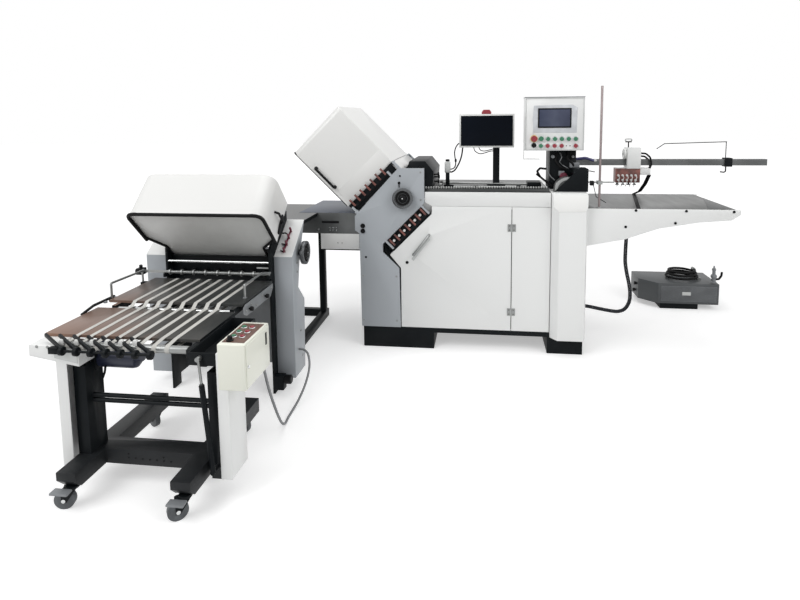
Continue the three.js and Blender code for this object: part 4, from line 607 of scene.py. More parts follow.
for node, name, test in (
    ("register_table", "black_paint", inside(x=(ALL[0], 220), z=(1030.5, ALL[1]))),
    ("display_monitor", "black_paint", inside(z=(0, 1262))),
    ("display_monitor", "black_paint", inside(y=(17.9, ALL[1]))),
    ("separator_head", "copper", inside(x=(1380, 1500), z=(0, 1125))),
    ("feeder_table", "brushed", inside((1190, 1330), (-360, -280), (914.5, ALL[1]))),
    ("feeder_beam", "beam_grey", lambda place, normal: place.x > 1300),
    ("transfer_table", "slate_paint", lambda place, normal: place.z > 835 and normal.z > 0.5),
    ("transfer_table", "white_paint", inside((-546, -281), (-203.1, -62.9), (596, 704.9))),
    ("transfer_table", "beam_grey", lambda place, normal: normal.y < -0.5 and place.z > 706),
    ("fold_frame_2", "dark_steel", inside((-1151, -567), (-790, 166), (818, 843))),
    # Painted shade: this cover of the frame lies in shade and is given a darker grey.
    ("fold_frame_2", "cast_grey", inside((-1138, -580), (-852, -840), (80, 562))),
    ("upper_levers_1", "black_paint", lambda place, normal: place.y > -366.5),
    ("lower_levers_1", "black_paint", lambda place, normal: place.y > -366.5),
    ("wire_guide", "black_paint", inside((2050, 2100), (-35, 30), (1130, 1196))),
    # Painted light: the delivery base is lighter below 200 mm, a lighter copy of its black paint.
    ("delivery_base", "charcoal_paint", lambda place, normal: place.z < 200),
    # Painted light: the slanted heads of the grey housings are given white paint where light falls on them.
    ("housing_right_2", "white_paint", sloped),
    ("housing_left_2", "white_paint", sloped),
    ("cabinet_door", "brushed", inside((60, 260), (ALL[0], -371.5), (560, 780))),
    ("vacuum_pump", "black_paint", lambda place, normal: place.z < 50),
    ("upper_delivery_board", "black_paint", inside((-1196, -540), (-1600, -1000), (580, 619.8))),
    ("lower_delivery_board", "black_paint", inside((-1210, -430), (-1600, -1500), (570, 607.9))),
    ("lower_delivery_board", "black_paint", inside((-563.2, -430), (-1935, -1500), (550, 612))),
    ("lower_delivery_board", "black_paint", inside((-1210, -1188.8), (-1935, -1500), (580, 607.9))),
    ("lower_delivery_board", "motor_navy", inside((-1000, -800), (-1850, -1740), (500, 607.9))),
):
    faces = accent(DRESSED[node], name, test).data.polygons
    print(node, name, sum(face.material_index == len(DRESSED[node].data.materials) - 1 for face in faces))

# %% [markdown]
# ## Noise hoods
# A hood is one soft-cornered moulding. A box is rounded while it still lies square, a little longer than the
# hood on its open sides, and bisect cuts those sides off clean. Solidify gives it a wall, and only then is it
# leaned into the slope of its roller bank.
# %% Hoods
def hood(low, high, near, far, half, corner, crisp=8, wall=5, spare=60, hair=0.1):
    """A box with soft sides and a crisp ridge, open at its low end and its near end, with a wall."""
    piece = block((low - spare, -half, near - spare), (high, half, far), 0)

    def lowest(line, k):
        return min(piece.data.vertices[i].co[k] for i in line.vertices) * 1000

    def lengthwise(line):
        a, b = (piece.data.vertices[i].co.x for i in line.vertices)
        return abs(a - b) > 0.1

    on_edges(piece, lambda line: lengthwise(line) and lowest(line, 2) > far - hair, mesh.bevel,
             offset=corner / 1000, segments=6, affect="EDGES")
    on_edges(piece, lambda line: lowest(line, 0) > high - hair, mesh.bevel, offset=crisp / 1000, segments=3,
             affect="EDGES")
    for point, away in (((low, 0, 0), (-1, 0, 0)), ((0, 0, near), (0, 0, -1))):
        edit(piece, (mesh.bisect, dict(plane_co=Vector(point) / 1000, plane_no=away, clear_outer=True)))
    apply_modifier(piece, "SOLIDIFY", thickness=wall / 1000, offset=-1)
    return piece


for number, shell in (1, hood(-300, 110, 211, 700, 345, 34)), (2, hood(-80, 173, 225, 469, 358, 70)):
    cover = fit(f"noise_hood_{number}_finished", body=f"hood_{number}", lean=number, hood_white=shell)
    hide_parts(f"noise_hood_{number}")
    print(cover.name, [round(v, 3) for v in cover.dimensions])

# %% [markdown]
# A black rubber lip runs round the open edge of each hood, and a black bow handle sits on the operator's side.
# The lips are rods bent at their corners, made square in the bank's frame like the hoods.
# %% Hood seals, skirt and handles
def rod(points, radius, bend=0, sides=3):
    """A bar or wire bent at its inner points, as a mesh. bend is how far from a corner the bend begins."""
    route = [Vector(points[0])]
    for before, corner, after in zip(points, points[1:], points[2:]):
        before, corner, after = Vector(before), Vector(corner), Vector(after)
        near = min(bend, (before - corner).length * 0.45, (after - corner).length * 0.45)
        route += [corner + (before - corner).normalized() * near, corner,
                  corner + (after - corner).normalized() * near]
    only(line_curve([*route, points[-1]], radius, sides, order=3 if bend else 2))
    bpy.ops.object.convert(target="MESH")
    bpy.ops.object.shade_smooth_by_angle(angle=radians(50))
    return bpy.context.object


lip_1 = [(-301, -341, 214), (-301, -341, 696), (-301, 341, 696), (-301, 341, 214)]
lip_2 = [(-82, 350, 228), (-82, 350, 462), (-82, -350, 462), (-82, -350, 228)]
fit("hood_1_seal", body="hood_1", lean=1, rubber=rod(lip_1, 4.5, 34))
fit("hood_2_seal", body="hood_2", lean=2, rubber=rod(lip_2, 9, 90))
skirt = sheet_cut([(-290, 216), (104, 216), (104, 318), (-275, 325)], "y", -347.2, -345, 0.8)
fit("hood_1_skirt", body="hood_1", lean=1, hood_white=skirt)
grip = rod([(-270, -345, 356), (-270, -372, 356), (-270, -372, 524), (-270, -345, 524)], 8, 14, 4)
ends = [turned([(12, 0), (12, 4), (9, 7)], "y", (-270, -352, q)) for q in (356, 524)]
fit("hood_1_handle", body="hood_1", lean=1, black_plastic=[grip, *ends])
grip = rod([(20, -358, 250), (20, -378, 262), (20, -378, 340), (20, -358, 352)], 6, 10, 4)
clamp = sheet_cut([(-40, 236), (70, 236), (70, 262), (0, 262), (-40, 250)], "y", -366, -358.2, 2)
fit("hood_2_handle", body="hood_2", lean=2, black_plastic=[grip, clamp])

# The inner panel of hood 2 is a pale sheet with a neck that reaches down between the bearings.
pan = sheet_cut([(338, 462), (-338, 462), (-340, 250), (-268, 165), (-268, 66), (268, 66), (268, 165), (340, 250)],
                "x", -76, -72.5, 1)
fold = block((-79.5, -300, 446), (-76, 300, 453), 1)
dimple = turned([(4, -78), (6, -76.5), (6, -76)], "x", (0, 250, 150), 16)
fit("hood_2_inner_panel", lean=2, white_plastic=[pan, fold, dimple])
fit("hood_1_apron", lean=1, hood_white=block((103, -338, 130), (107, 338, 209), 1))
seams = [rod([(-80, 352 * side, 252), (-80, 270 * side, 168), (-80, 268 * side, 66)], 7, 18) for side in (1, -1)]
fit("hood_2_lower_seal", lean=2, rubber=seams)
print("seals and handles")

# %% [markdown]
# ## Delivery tapes
# Each tape is an endless belt of woven polyester. A belt is drawn as a closed loop in side view, pulled out to
# its width, and given its thickness. The upper tapes run over the fixed board and round the middle roller. The
# lower ones run to the front roller, so they stretch between the fixed unit and the lifting deck.
# %% Belts
LANES = (-1065, -1005, -944.5, -885, -825, -766, -707, -654)


def moved(piece, shift):
    """A copy of a piece with its own mesh, shifted in millimetres."""
    only(piece)
    bpy.ops.object.duplicate()
    twin = bpy.context.object
    twin.data.transform(Matrix.Translation(Vector(shift) / 1000))
    return twin


def tapes(loop, shift, width=18, thick=1):
    """An endless flat belt, a loop of (y, z) points pulled out along X, in each of the lanes."""
    belt = pulled_out([Vector((LANES[0] + shift, y, z)) / 1000 for y, z in loop], (width / 1000, 0, 0))
    apply_modifier(belt, "SOLIDIFY", thickness=thick / 1000, offset=0)
    return [belt, *(moved(belt, (x - LANES[0], 0, 0)) for x in LANES[1:])]


def wrap(y, z, radius, start, end, steps=10):
    """Points round a roller from one angle to another, in degrees from +Y."""
    angles = [radians(start + (end - start) * i / steps) for i in range(steps + 1)]
    return [(y + radius * cos(angle), z + radius * sin(angle)) for angle in angles]


upper_loop = [*((-1092 - 73 * i, 632.8) for i in range(6)), *wrap(-1491, 604, 12, 62, 270), (-1459, 594),
              (-1092, 596), *wrap(-1092, 614.4, 18.4, -90, 90)[1:-1]]
lower_loop = [*((-1522 - 64 * i, 620.8) for i in range(6)), *wrap(-1893, 600, 16, 80, 270), (-1842, 586),
              (-1522, 588), (-1506, 589.2), *wrap(-1491, 604, 13.6, -90, 80), (-1506, 619.2)]
fit("upper_tapes", tape_white=tapes(upper_loop, -9))
lower_tapes = joined("lower_tapes", tape_white=tapes(lower_loop, 1))
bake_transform(lower_tapes)
print("tapes in", len(LANES), "lanes")

# %% [markdown]
# ## Control cabinet
# The operator's panel is a shallow cabinet door with a glass screen under a sheet of film, and two rows of push
# buttons. One button is turned on the lathe, its cap and its chrome collar told apart by place, and copied.
# %% Panel door, screen and buttons
def row(piece, count, *step):
    """The piece and its copies, each one a step in millimetres further on."""
    return [piece, *(moved(piece, [i * part for part in step]) for i in range(1, count))]


panel_face = -265.2
bars = [block((left, -267.5, low), (right, panel_face, high), 1) for left, right, low, high in (
    (789, 1142, 1260, 1266), (789, 1142, 1574, 1580), (789, 795, 1266.2, 1573.8), (1136, 1142, 1266.2, 1573.8))]
fit("panel_door_edge", pale_plate=bars)
# The roof cover's grey front edge is painted shade: it stands for the dark shadow line along the cabinet's top.
fit("panel_roof_edge", cast_grey=block((786, -268, 1582.2), (1145, -133, 1586), 1.2))
film = sheet_cut([(838, 1368), (1098, 1366), (1101, 1522), (1070, 1537), (840, 1533), (833, 1452)], "y", -266.4,
                 panel_face, 0.4)
fit("touch_screen", black_plastic=block((865, -271, 1397), (1065, -266.5, 1517), 3, 3),
    screen_glass=block((874, -272.2, 1406), (1056, -271.1, 1508), 0.4), film=film)


def push_button(x, z, cap_finish):
    """A push button: a domed cap in a chrome collar."""
    body = turned([(0, -280), (9, -279.6), (12.6, -278), (13.6, -275), (13.6, -271), (16, -270.6), (17.4, -268.4),
                   (17.4, panel_face)], "y", (x, 0, z), 24)
    return accent(tint(body, "chrome"), cap_finish, lambda place, normal: place.y < -271.2)


green, red = push_button(927.7, 1329, "green_plastic"), push_button(925, 1287, "red_plastic")
copies = [*row(green, 5, 41.1, 0, 0)[1:], moved(green, (-43, 0, -42)),
          *(moved(red, (x, 0, 0)) for x in (42, 84, 168))]
lamps = [turned([(0, -268), (2.6, -267.6), (3.4, panel_face)], "y", (x, 0, 1287), 12) for x in (1038, 1060)]
fit("panel_buttons", green, red, *copies, black_plastic=lamps)
ring = turned([(19.6, -268), (21.4, -267.4), (22, panel_face), (19.6, panel_face)], "y", (843, 0, 1331), ring=True)
plate = turned([(16, -267.6), (18.5, -267), (19.5, panel_face), (16, panel_face)], "y", (843, 0, 1290), ring=True)
fit("stop_button_ring", yellow_plastic=ring, chrome=plate)
tray = sheet_cut([(782, 1262), (786, 1262), (786, 1206), (880, 1206), (880, 1202), (782, 1202)], "y", -264, -216, 1)
fit("panel_pen_tray", white_paint=[tray, block((782, -264, 1262.1), (787.8, -216, 1296), 1)])
print("panel with", len(copies) + 2, "buttons")

# %% [markdown]
# ## Display
# The display hangs on a black post: a dark glass in a white bezel, a red beacon on top and its leads below. The
# leads are held at both ends, so each is a short cord along a soft curve.
# %% Display glass, beacon, leads and sensor
fit("display_glass", dark_glass=block((384, -24.4, 1277), (726, -22.2, 1476), 1.5, 3))
beacon = [(521, 1487.2), (585, 1487.2), (585, 1500), (574, 1516), (532, 1516), (521, 1500)]
fit("display_beacon", red_plastic=sheet_cut(beacon, "y", -16, 14, 3, 3))
for number, radius, route in (
    (1, 5.2, [(395, 0, 1265), (394, -2, 1252), (388, -6, 1210), (372, -20, 1162), (346, -44, 1118), (322, -56, 1104),
              (305, -60, 1108)]),
    (4, 4, [(392, 22, 1292), (368, 20, 1290), (350, 6, 1268), (341, -8, 1232), (346, -26, 1190), (350, -38, 1160),
            (342, -52, 1134), (322, -62, 1124), (304, -64, 1125)]),
    (2, 3, [(470, 4, 1265), (471, 5, 1256), (480, 6, 1238), (510, 8, 1222), (545, 9, 1228), (575, 14, 1238),
            (597.6, 30, 1240)]),
    (3, 3, [(505, 4, 1265), (506, 5, 1258), (515, 8, 1246), (540, 14, 1240), (570, 22, 1246), (597.6, 38, 1252)]),
):
    cord(f"display_lead_{number}", smooth_route(route, 8), radius, "black_plastic", sides=3)
plugs = [block((343, -35, 1168), (356, -22, 1190), 2.5), block((342, -37, 1176), (357, -20, 1181), 1)]
fit("display_lead_plug", black_plastic=plugs)
table_top = 1008.3
foot = block((272, -82, table_top), (322, -36, 1022), 2)
stalk = block((284, -70, 1022), (310, -48, 1100), 2)
eye = block((278, -76, 1100), (316, -44, 1176), 5, 3)
band = turned([(12, 1176), (14, 1180), (14, 1186), (11, 1190)], "z", (297, -60, 0))
fit("sensor_head", black_paint=[foot, stalk], pale_plate=eye, black_plastic=band)
print("display and sensor")

# %% [markdown]
# ## Register table
# A row of steel balls in a rail holds each sheet against the side lay. One ball is made and an Array modifier
# repeats it along the slanted rail. Light bars and small blocks lie on the dark table behind it.
# %% Balls, bars and guard knobs
mesh.primitive_uv_sphere_add(segments=10, ring_count=6, radius=0.0062, location=(0.1795, -0.3301, 1.0316))
bpy.ops.object.transform_apply()
ball = bpy.context.object
apply_modifier(ball, "ARRAY", count=48, use_relative_offset=False, use_constant_offset=True,
               constant_offset_displace=(0.01578, 0.00077, 0))
strip = sheet_cut([(168, -338.5), (936, -301), (936, -299), (168, -336.5)], "z", 1030.2, 1033.5, 0.5)
fit("side_lay_balls", tint(ball, "white_plastic", 60), black_paint=strip)
bars = [rod([(250, 60, 1019), (900, -10, 1019)], 7), rod([(330, -150, 1018), (760, -150, 1018)], 5),
        block((300, -246, table_top), (780, -226, 1013), 1), block((236, -120, table_top), (262, -60, 1030), 2)]
fit("table_bars", brushed=bars)
blocks = [block((left, front, table_top), (right, back, top), edge) for left, right, front, back, top, edge in (
    (470, 500, -226, -190, 1028, 2), (746, 772, -170, -130, 1030, 2), (318, 342, -168, -132, 1030, 2),
    (560, 600, -300, -270, 1018, 2), (820, 906, -100, 20, 1042, 4), (240, 256, 20, 96, 1030, 2),
    (896, 912, -50, 20, 1030, 2))]
fit("table_blocks", black_paint=blocks)
knob = turned([(0, -214), (13, -213), (15, -209), (15, -204), (6, -202.6), (6, -200.2)], "y", (134, 0, 1142))
side = turned([(0, 250), (12, 249), (14, 246), (14, 238), (5, 236), (5, 214.2)], "x", (0, -150, 1052))
knobs = [knob, moved(knob, (-40, 0, -60)), side, moved(side, (0, 0, 46)), moved(side, (-4, 90, 20))]
fit("guard_knobs", black_plastic=knobs)
print("table dressed")

# %% [markdown]
# ## First fold unit
# Behind the lever rows two black plates stand for the shade between the fold plates: painted shade. White
# adjusting knobs sit between the lower levers. The side plate carries round screw heads, a keyed lock above the
# handwheel and two black stops. A screw head is a lathe part with a shallow dish, and one helper turns it for faces
# to the front and to the right.
# %% Shade plates, knobs and screws of the first unit
def screw_head(x, y, z, radius=7, proud=4, side=False):
    """A round screw head on a face that looks at the operator, or to the right."""
    axis, face, centre, out, steps = ("x", x, (0, y, z), 1, 18) if side else ("y", y, (x, 0, z), -1, 20)
    dish_shares = ((0.4, 1), (0.5, 0.7), (0.85, 0.8), (1, 0.4))
    profile = [(radius * wide, face + out * proud * high) for wide, high in dish_shares]
    return turned([*profile, (radius, face + out * 0.2)], axis, centre, steps)


side_plate = -378
# Black plates of painted shade behind the lever rows.
shade_plates = [sheet_cut(outline, "y", -351.6, -348.6, 0.8) for outline in (
    [(-292, 142), (92, 150), (92, 209), (-292, 209)], [(-292, -206), (40, -206), (40, -120), (-292, -120)])]
fit("bank_shade_plates_1", lean=1, black_paint=shade_plates)
knob = turned([(0, -372), (7, -371), (8.5, -368), (8.5, -360), (5, -358.6), (5, -351.8)], "y", (-239, 0, -150))
fit("setting_knobs_1", lean=1, white_plastic=row(knob, 6, 46.6, 0, 0))
dark = [screw_head(x, side_plate, z, radius, proud) for x, z, radius, proud in (
    (-219, 792, 15, 10), (-219, 759, 15, 10), (16, 1065, 9, 5), (22, 1109, 6, 3), (-202, 591, 7, 3))]
light = [screw_head(x, side_plate, z, 6, 2.5) for x, z in (
    (-222, 180), (-8, 180), (-222, 470), (-8, 470), (150, 1132), (150, 960))]
key = block((13, -383, 1038), (19, -378.2, 1062), 1)
fit("side_plate_screws_1", black_plastic=[*dark, key], brushed=light)
print("first unit dressed")

# %% [markdown]
# ## Cabinet door
# Two square hinges carry the door, each split at the pin so that one half swings with it. The pin lies on the
# joint's own axis, so it can turn with the door and still never touch the fixed half.
# %% Hinges, lock, handle plate and seam
hinge_face = -373.2
for name, z in (("upper", 791), ("lower", 260)):
    for part, body, left, right in (("door_hinge_", "door", 684, 707), ("door_hinge_seat_", "machine", 711, 733)):
        leaf = block((left, hinge_face, z - 23), (right, -370.2, z + 23), 1)
        heads = [screw_head((left + right) / 2, hinge_face, z + d, 3.2, 1.4) for d in (-13, 13)]
        fit(part + name, body=body, brushed=leaf, black_plastic=heads)
    pin = [(1.2, z - 24), (1.4, z - 23), (1.4, z + 23), (1.2, z + 24)]
    fit("door_hinge_pin_" + name, body="door", chrome=turned(pin, "z", (708, -373, 0), 16))
lock = turned([(0, -376), (4, -375.5), (9, -374.5), (10, -370.2)], "y", (60, 0, 560), 20)
fit("door_lock", body="door", black_plastic=lock)
back = sheet_cut([(100, 571), (88, 584), (196, 722), (208, 709)], "y", -373.4, -371.2, 0.8)
fit("door_handle_plate", body="door", pale_plate=back)
fit("door_seam", rubber=block((706.6, -371.4, 150), (710, -369, 905), 0.4))
# The column's front carries a proud white cover. Its brighter white is painted light on the tilted top of the
# column.
facet = sheet_cut([(949, 1004), (1150, 1004), (1150, 932), (1137, 904), (981, 902), (951, 931)], "y", -423.4, -422.2,
                  0.4)
fit("column_facet", cover_white=facet)
print("door hung")

# %% [markdown]
# ## Handwheels
# A stepped black hub with a steel dot covers each handwheel's centre, and a dark ring marks the joint round it.
# Both hubs are one profile, drawn as its distance from the wheel's face, and turned along either wheel's axis.
# %% Hubs
HUB = ((0, 17), (12, 16.6), (19, 14.5), (25, 7), (28, 3), (29, 0.2))
DOT = ((0, 18.4), (3, 18.2), (4, 17.1))
RING = ((31, 0.3), (46, 0.3), (46, 1.4), (31, 1.4))
for number, axis, centre, face, out in (1, "y", (41.3, 0, 973), -410, -1), (2, "x", (0, -885, 737), -433, 1):
    hub, dot, ring = (turned([(radius, face + rise * out) for radius, rise in profile], axis, centre, steps,
                             ring=profile is RING) for profile, steps in ((HUB, 28), (DOT, 16), (RING, 28)))
    fit(f"handwheel_{number}_hub", body=f"handwheel_roller_{number}", black_plastic=hub, chrome=dot, rubber=ring)
print("two hubs")

# %% [markdown]
# ## Transfer table
# The dark table between the units has a slotted plate and ports on its front, and a white cover closes the box
# under it. They are thin, so small bevelled blocks and screw heads laid on the face are enough.
# %% Screws, slot and cover of the transfer
table_front = -203
screws = [screw_head(x, table_front, z, 8, 4) for x, z in ((-610, 813), (-560, 730), (-300, 820))]
ports = [screw_head(-480 + 22 * i, table_front, z, 5, 3) for i in range(3) for z in (726, 742)]
slot_bar = block((-535, -209, 774), (-419, -203.2, 788), 2)
skirting = block((-546, -204, 590), (-281, -198, 597), 1)
fit("transfer_fittings", chrome=[*screws, *ports], black_plastic=[slot_bar, skirting])
eyes = [screw_head(x, -207, 640, 3, 1.6) for x in (-428, -400)]
# The box cover is white. Its brighter white is painted light, for a cover that sits in shade.
cover = block((-545, -207, 597.6), (-282, -203.2, 703), 1.5)
fit("transfer_box_cover", cover_white=cover, black_plastic=eyes)
print("transfer dressed")

# %% [markdown]
# ## Second fold unit
# Under the hood a chrome tie bar and a row of rubber wheels carry the sheet out of the bank, with a black plate
# behind them. Dark red levers sit on the operator's side, and a small motor stands at the foot.
# %% Outfeed shaft, levers and strips
left, right = -1139.6, -578.4
backing = [block((left, -1006, 562), (right, -1002, 742), 1), block((left, -1020, 738), (right, -1006, 742), 0.5)]
fit("outfeed_backing", black_paint=backing)
shaft, bar = (turned([(0, left), (radius, left + 0.4), (radius, right - 0.4), (0, right)], "x", centre, 16)
              for radius, centre in ((6, (0, -1030, 655)), (7, (0, -1042, 716))))
wheel = turned([(6.2, -1080), (9, -1080), (18, -1079), (20, -1077), (20, -1063), (18, -1061), (9, -1060),
                (6.2, -1060)], "x", (0, -1030, 655), 20, ring=True)
fit("outfeed_shaft", chrome=shaft, rubber=row(wheel, 8, 66, 0, 0))
fit("outfeed_tie_bar", chrome=bar, brushed=rod([(-640, -1052, 690), (-578.6, -1052, 690)], 5))
stems = [rod([(-556.5, y + 26, z - 2), (-536, y + 14, z + 2), (-522, y, z)], 4, 6)
         for y, z in ((-913, 845), (-949, 792), (-983, 762))]
fit("side_lever_stems", body="side_levers", black_plastic=stems)
holder = [block((-1302, -1092, 646), (-1262, -1052, 680), 3), block((-1310, -1084, 652), (-1302, -1060, 672), 2),
          turned([(8, 680), (9, 684), (9, 694), (7, 697)], "z", (-1282, -1072, 0), 16)]
fit("slitter_holder", black_plastic=holder)
bolts = [screw_head(-466, y, z, 6, 4, side=True) for y, z in ((-930, 690), (-930, 640), (-900, 300), (-880, 150))]
fit("housing_screws", brushed=bolts)
motor = block((-564, -1078, 34), (-508, -1032, 112), 4, 3)
cap = turned([(19, -470), (24, -475), (24, -505), (20, -507.8)], "x", (0, -1055, 88), 28)
fit("unit_2_foot_motor", black_paint=motor, black_plastic=cap)
print("second unit dressed")

# %% [markdown]
# ## Delivery boards
# Bent bars guide the pile on both sides of the upper board and stand in small feet. The right edge carries a
# grey side plate with screws and knobs, and a short bar closes the lower board's left side.
# %% Bails, side plate and screws of the boards
bail = [rod([(-1282, -1072, 664), (-1215, -1150, 690), (-1202, -1429, 703), (-1202, -1429, 614)], 5.5, 14),
        rod([(-1218, -1158, 690), (-1218, -1158, 622)], 5)]
feet = [block((-1226, -1170, 616), (-1196.5, -1146, 632), 2), block((-1211, -1441, 616), (-1196.5, -1417, 634), 2)]
fit("left_bail", brushed=bail, black_plastic=feet)
bail = rod([(-571, -1367, 634), (-571, -1367, 695), (-574, -1150, 690), (-560, -1075, 672)], 5.5, 8)
fit("right_bail", brushed=bail, cast_grey=block((-579, -1375, 620.2), (-563, -1359, 636), 2))
plate_face = -539.6
plate = sheet_cut([(-1096, 622), (-1096, 600), (-1130, 566), (-1420, 566), (-1455, 584), (-1455, 610), (-1436, 622)],
                  "x", -544, plate_face, 1.2)
strip = block((-548, -1440, 590), (-544.2, -1110, 606), 0.8)
screws = [screw_head(plate_face, y, z, 6, 4, side=True) for y, z in (
    (-1120, 606), (-1170, 580), (-1240, 604), (-1310, 580), (-1370, 604), (-1428, 590))]
knobs = [turned([(0, -518), (9, -519), (11, -522), (11, -532), (5, -534), (5, -539.4)], "x", (0, y, 592), 18)
         for y in (-1206, -1396)]
fit("upper_board_side_plate", cast_grey=plate, black_paint=strip, brushed=screws, black_plastic=knobs)
side = rod([(-1214, -1395, 630), (-1214, -1540, 632), (-1214, -1618, 617)], 6.5, 14)
lugs = [block((-1210, y, 622), (-1196.2, y + 12, 631), 1.5) for y in (-1410, -1480)]
fit("board_side_bar", black_plastic=side, cast_grey=lugs)
print("boards dressed")

# %% [markdown]
# ## Delivery control box and stand
# A brown label plate with six buttons and a knob covers the top of the box, and its door stands proud on the
# right. White caps close the fork arms, a motor hangs under the deck, and screws hold the head of the left leg.
# %% Control box, fork caps, leg screws and a plate of painted shade on the leg head
box_top = 677.5
ends = {"chrome": [], "green_plastic": [], "red_plastic": []}
for x, cap_finish in ((-362, "green_plastic"), (-330, "red_plastic")):
    for y in (-1935, -1890, -1845):
        ends["chrome"].append(turned([(12, box_top), (12, 680), (9.6, 681.4)], "z", (x, y, 0), 18))
        ends[cap_finish].append(turned([(9, 681.5), (8.6, 685), (6, 686)], "z", (x, y, 0), 18))
knob = turned([(13, box_top), (13, 681), (9, 683), (8.4, 694), (6.8, 696)], "z", (-360, -1972, 0), 20)
label = block((-385, -1986, 676.3), (-301, -1800, 677.4), 0.4)
fit("box_buttons", body="deck", board_label=label, black_plastic=knob, **ends)
latch = turned([(5, -284), (6, -286), (6, -288.5)], "x", (0, -1986, 590), 16)
fit("box_door", body="deck", cream_paint=block((-291.7, -1998, 512), (-288.6, -1787, 669), 1.2),
    black_plastic=block((-288.5, -1826, 604), (-287.6, -1812, 652), 0.3), chrome=latch)
cap = sheet_cut([(-9, -12), (9, -12), (12, 0), (6, 11), (-6, 11), (-12, 0)], "y", -1913, -1900, 2)
caps = [moved(cap, (x, 0, z)) for x, z in ((-1012, 618), (-947, 620), (-884, 622), (-827, 624), (-770, 626))]
cap.data.transform(Matrix.Translation((-1.075, 0, 0.616)))
fit("fork_caps", body="deck", white_plastic=[cap, *caps])
fit("leg_screws", body="deck", brushed=[screw_head(x, -1930, 603, 6, 3) for x in (-1164, -1119)])
can = turned([(36, -992), (37, -988), (37, -850), (34, -836), (22, -826), (0, -824)], "x", (0, -1801, 513), 28)
lever = rod([(-954, -1836, 490), (-956, -1838, 470), (-966, -1840, 444)], 4.5, 8)
fit("motor_cover", body="deck", black_paint=block((-1052, -1846, 474), (-990, -1756, 552), 5), motor_navy=can,
    black_plastic=lever)
# A pale grey plate on the left leg's head stands for the shade on its chamfered side: painted shade.
plate = sheet_cut([(-1092, 604), (-996, 600), (-996, 543), (-1092, 561)], "y", -1932.4, -1930.3, 1)
fit("left_head_shade_plate", body="deck", pale_plate=plate)
sleeve = rod([(-485.4, -1945, 421), (-491.4, -1945, 490)], 10.4, 0, 4)
nut = rod([(-491.4, -1945, 490.4), (-491.8, -1945, 495)], 7, 0, 4)
fit("spring_sleeve", body="spring_cylinder", black_paint=sleeve, dark_steel=nut)
print("box and stand dressed")

# %% [markdown]
# Each castor turns on a bolt with a nut. The bolt is turned upright at the origin, and then swung onto the
# wheel's own axis, which is the normal of the wheel's largest face. The front castors carry a brake pedal.
# %% Castor bolts, pedals and base screws
def swung(piece, middle, axis):
    """Takes a part that was made along Y to a place on a wheel's axis."""
    turn = Vector((0, 1, 0)).rotation_difference(axis).to_matrix().to_4x4()
    piece.data.transform(Matrix.Translation(middle) @ turn)
    return piece


for corner in CORNERS:
    wheel, fork = DRESSED["wheel_" + corner].data, DRESSED["fork_" + corner].data
    axis = max(wheel.polygons, key=lambda face: face.area).normal.copy()
    spans = [[vertex.co[k] for vertex in wheel.vertices] for k in range(3)]
    middle = Vector([(min(span) + max(span)) / 2 for span in spans])
    # How far the fork stands out along the axis, read below the wheel's upper rim only.
    rim = 0.06
    reach = 1000 * max((vertex.co - middle).dot(axis) for vertex in fork.vertices if vertex.co.z < rim)
    bolts = [turned([(radius, out * (reach + rise)) for radius, rise in ((5, 4), (7.5, 3), (8, 0.2))],
                    "y", (0, 0, 0), 16) for out in (-1, 1)]
    fit("castor_bolts_" + corner, body=OWNER["castor_fork_" + corner],
        chrome=[swung(bolt, middle, axis) for bolt in bolts])
for name, left, right, front in (("front_left", -1056, -986, -2054), ("front_right", -590, -524, -2062)):
    pedal = [(front, 84), (front + 2, 92), (front + 34, 92.4), (front + 34, 86), (front + 8, 82)]
    fit("castor_pedal_" + name, body=OWNER["castor_fork_" + name], cast_grey=sheet_cut(pedal, "x", left, right, 1.5))
hole = turned([(3.4, -1854.6), (4.2, -1854), (4.2, -1853.2)], "y", (-868, 0, 122), 14)
fit("base_screws", black_plastic=[*row(hole, 7, 30, 0, -1), moved(hole, (0, 0, 16)), moved(hole, (150, 0, 10))])
print("castors dressed")

# %% [markdown]
# ## Feeder
# The separator's block hangs on the beam with its ribs, suction cups and hoses, and its strap reaches over the
# feed table. A lay rod stands at the table's corner. All that slides with the head rides on its body.
# %% Separator
white = block((1537.4, -39.6, 1087), (1601.2, 34.6, 1129.2), 2)
brown = block((1385, -41.4, 1037.4), (1536.8, -37.8, 1124), 1.5)
ribs = [turned([(6, -54), (7.5, -51), (7.5, -44), (4, -42), (4, -41.6)], "y", (1400 + 27 * i, 0, z), 14)
        for i in range(5) for z in (1054, 1084)]
cups = [turned([(11, 1018), (12, 1020), (6, 1026), (5, 1036.8)], "z", (1404 + 36 * i, -2, 0), 16)
        for i in range(4)]
fit("separator_block", body="separator", white_paint=white, copper=brown, white_plastic=ribs, rubber=cups)
wheel = turned([(6, 1448), (30, 1448), (35, 1444), (36, 1440), (35, 1436), (30, 1432), (6, 1432)], "x",
               (0, -20, 1222), ring=True)
axle = turned([(6, 1452.8), (6, 1428)], "x", (0, -20, 1222), 16)
fit("separator_side_wheel", body="separator", white_plastic=wheel, brushed=axle)
ring = [(1455, 1302), (1447, 1309), (1452, 1317), (1484, 1317), (1489, 1309), (1481, 1302), (1468, 1300)]
fit("t_screw_ring", body="t_screw", brushed=rod([(x, -2.5, z) for x, z in ring], 3.2, 4))
hoses = [rod([(1537.4, y, z), (1572, y - 4, z - 2), (1598, y - 10, z - 26), (1606, y - 12, z - 70),
              (1598, y - 10, 1129.4)], 6, 20) for y, z in ((-22, 1226), (4, 1206))]
fit("separator_hoses", body="separator", rubber=hoses)
tubes = [rod([(1400 + 27 * i, -54, 1084), (1404 + 27 * i, -66, 1074), (1400 + 24 * i, -60, 1030 - 4 * (i % 2)),
              (1392 + 27 * i, -40, 1012)], 2, 10) for i in range(5)]
fit("separator_tubes", body="separator", white_plastic=tubes)
feed_top = 913.7
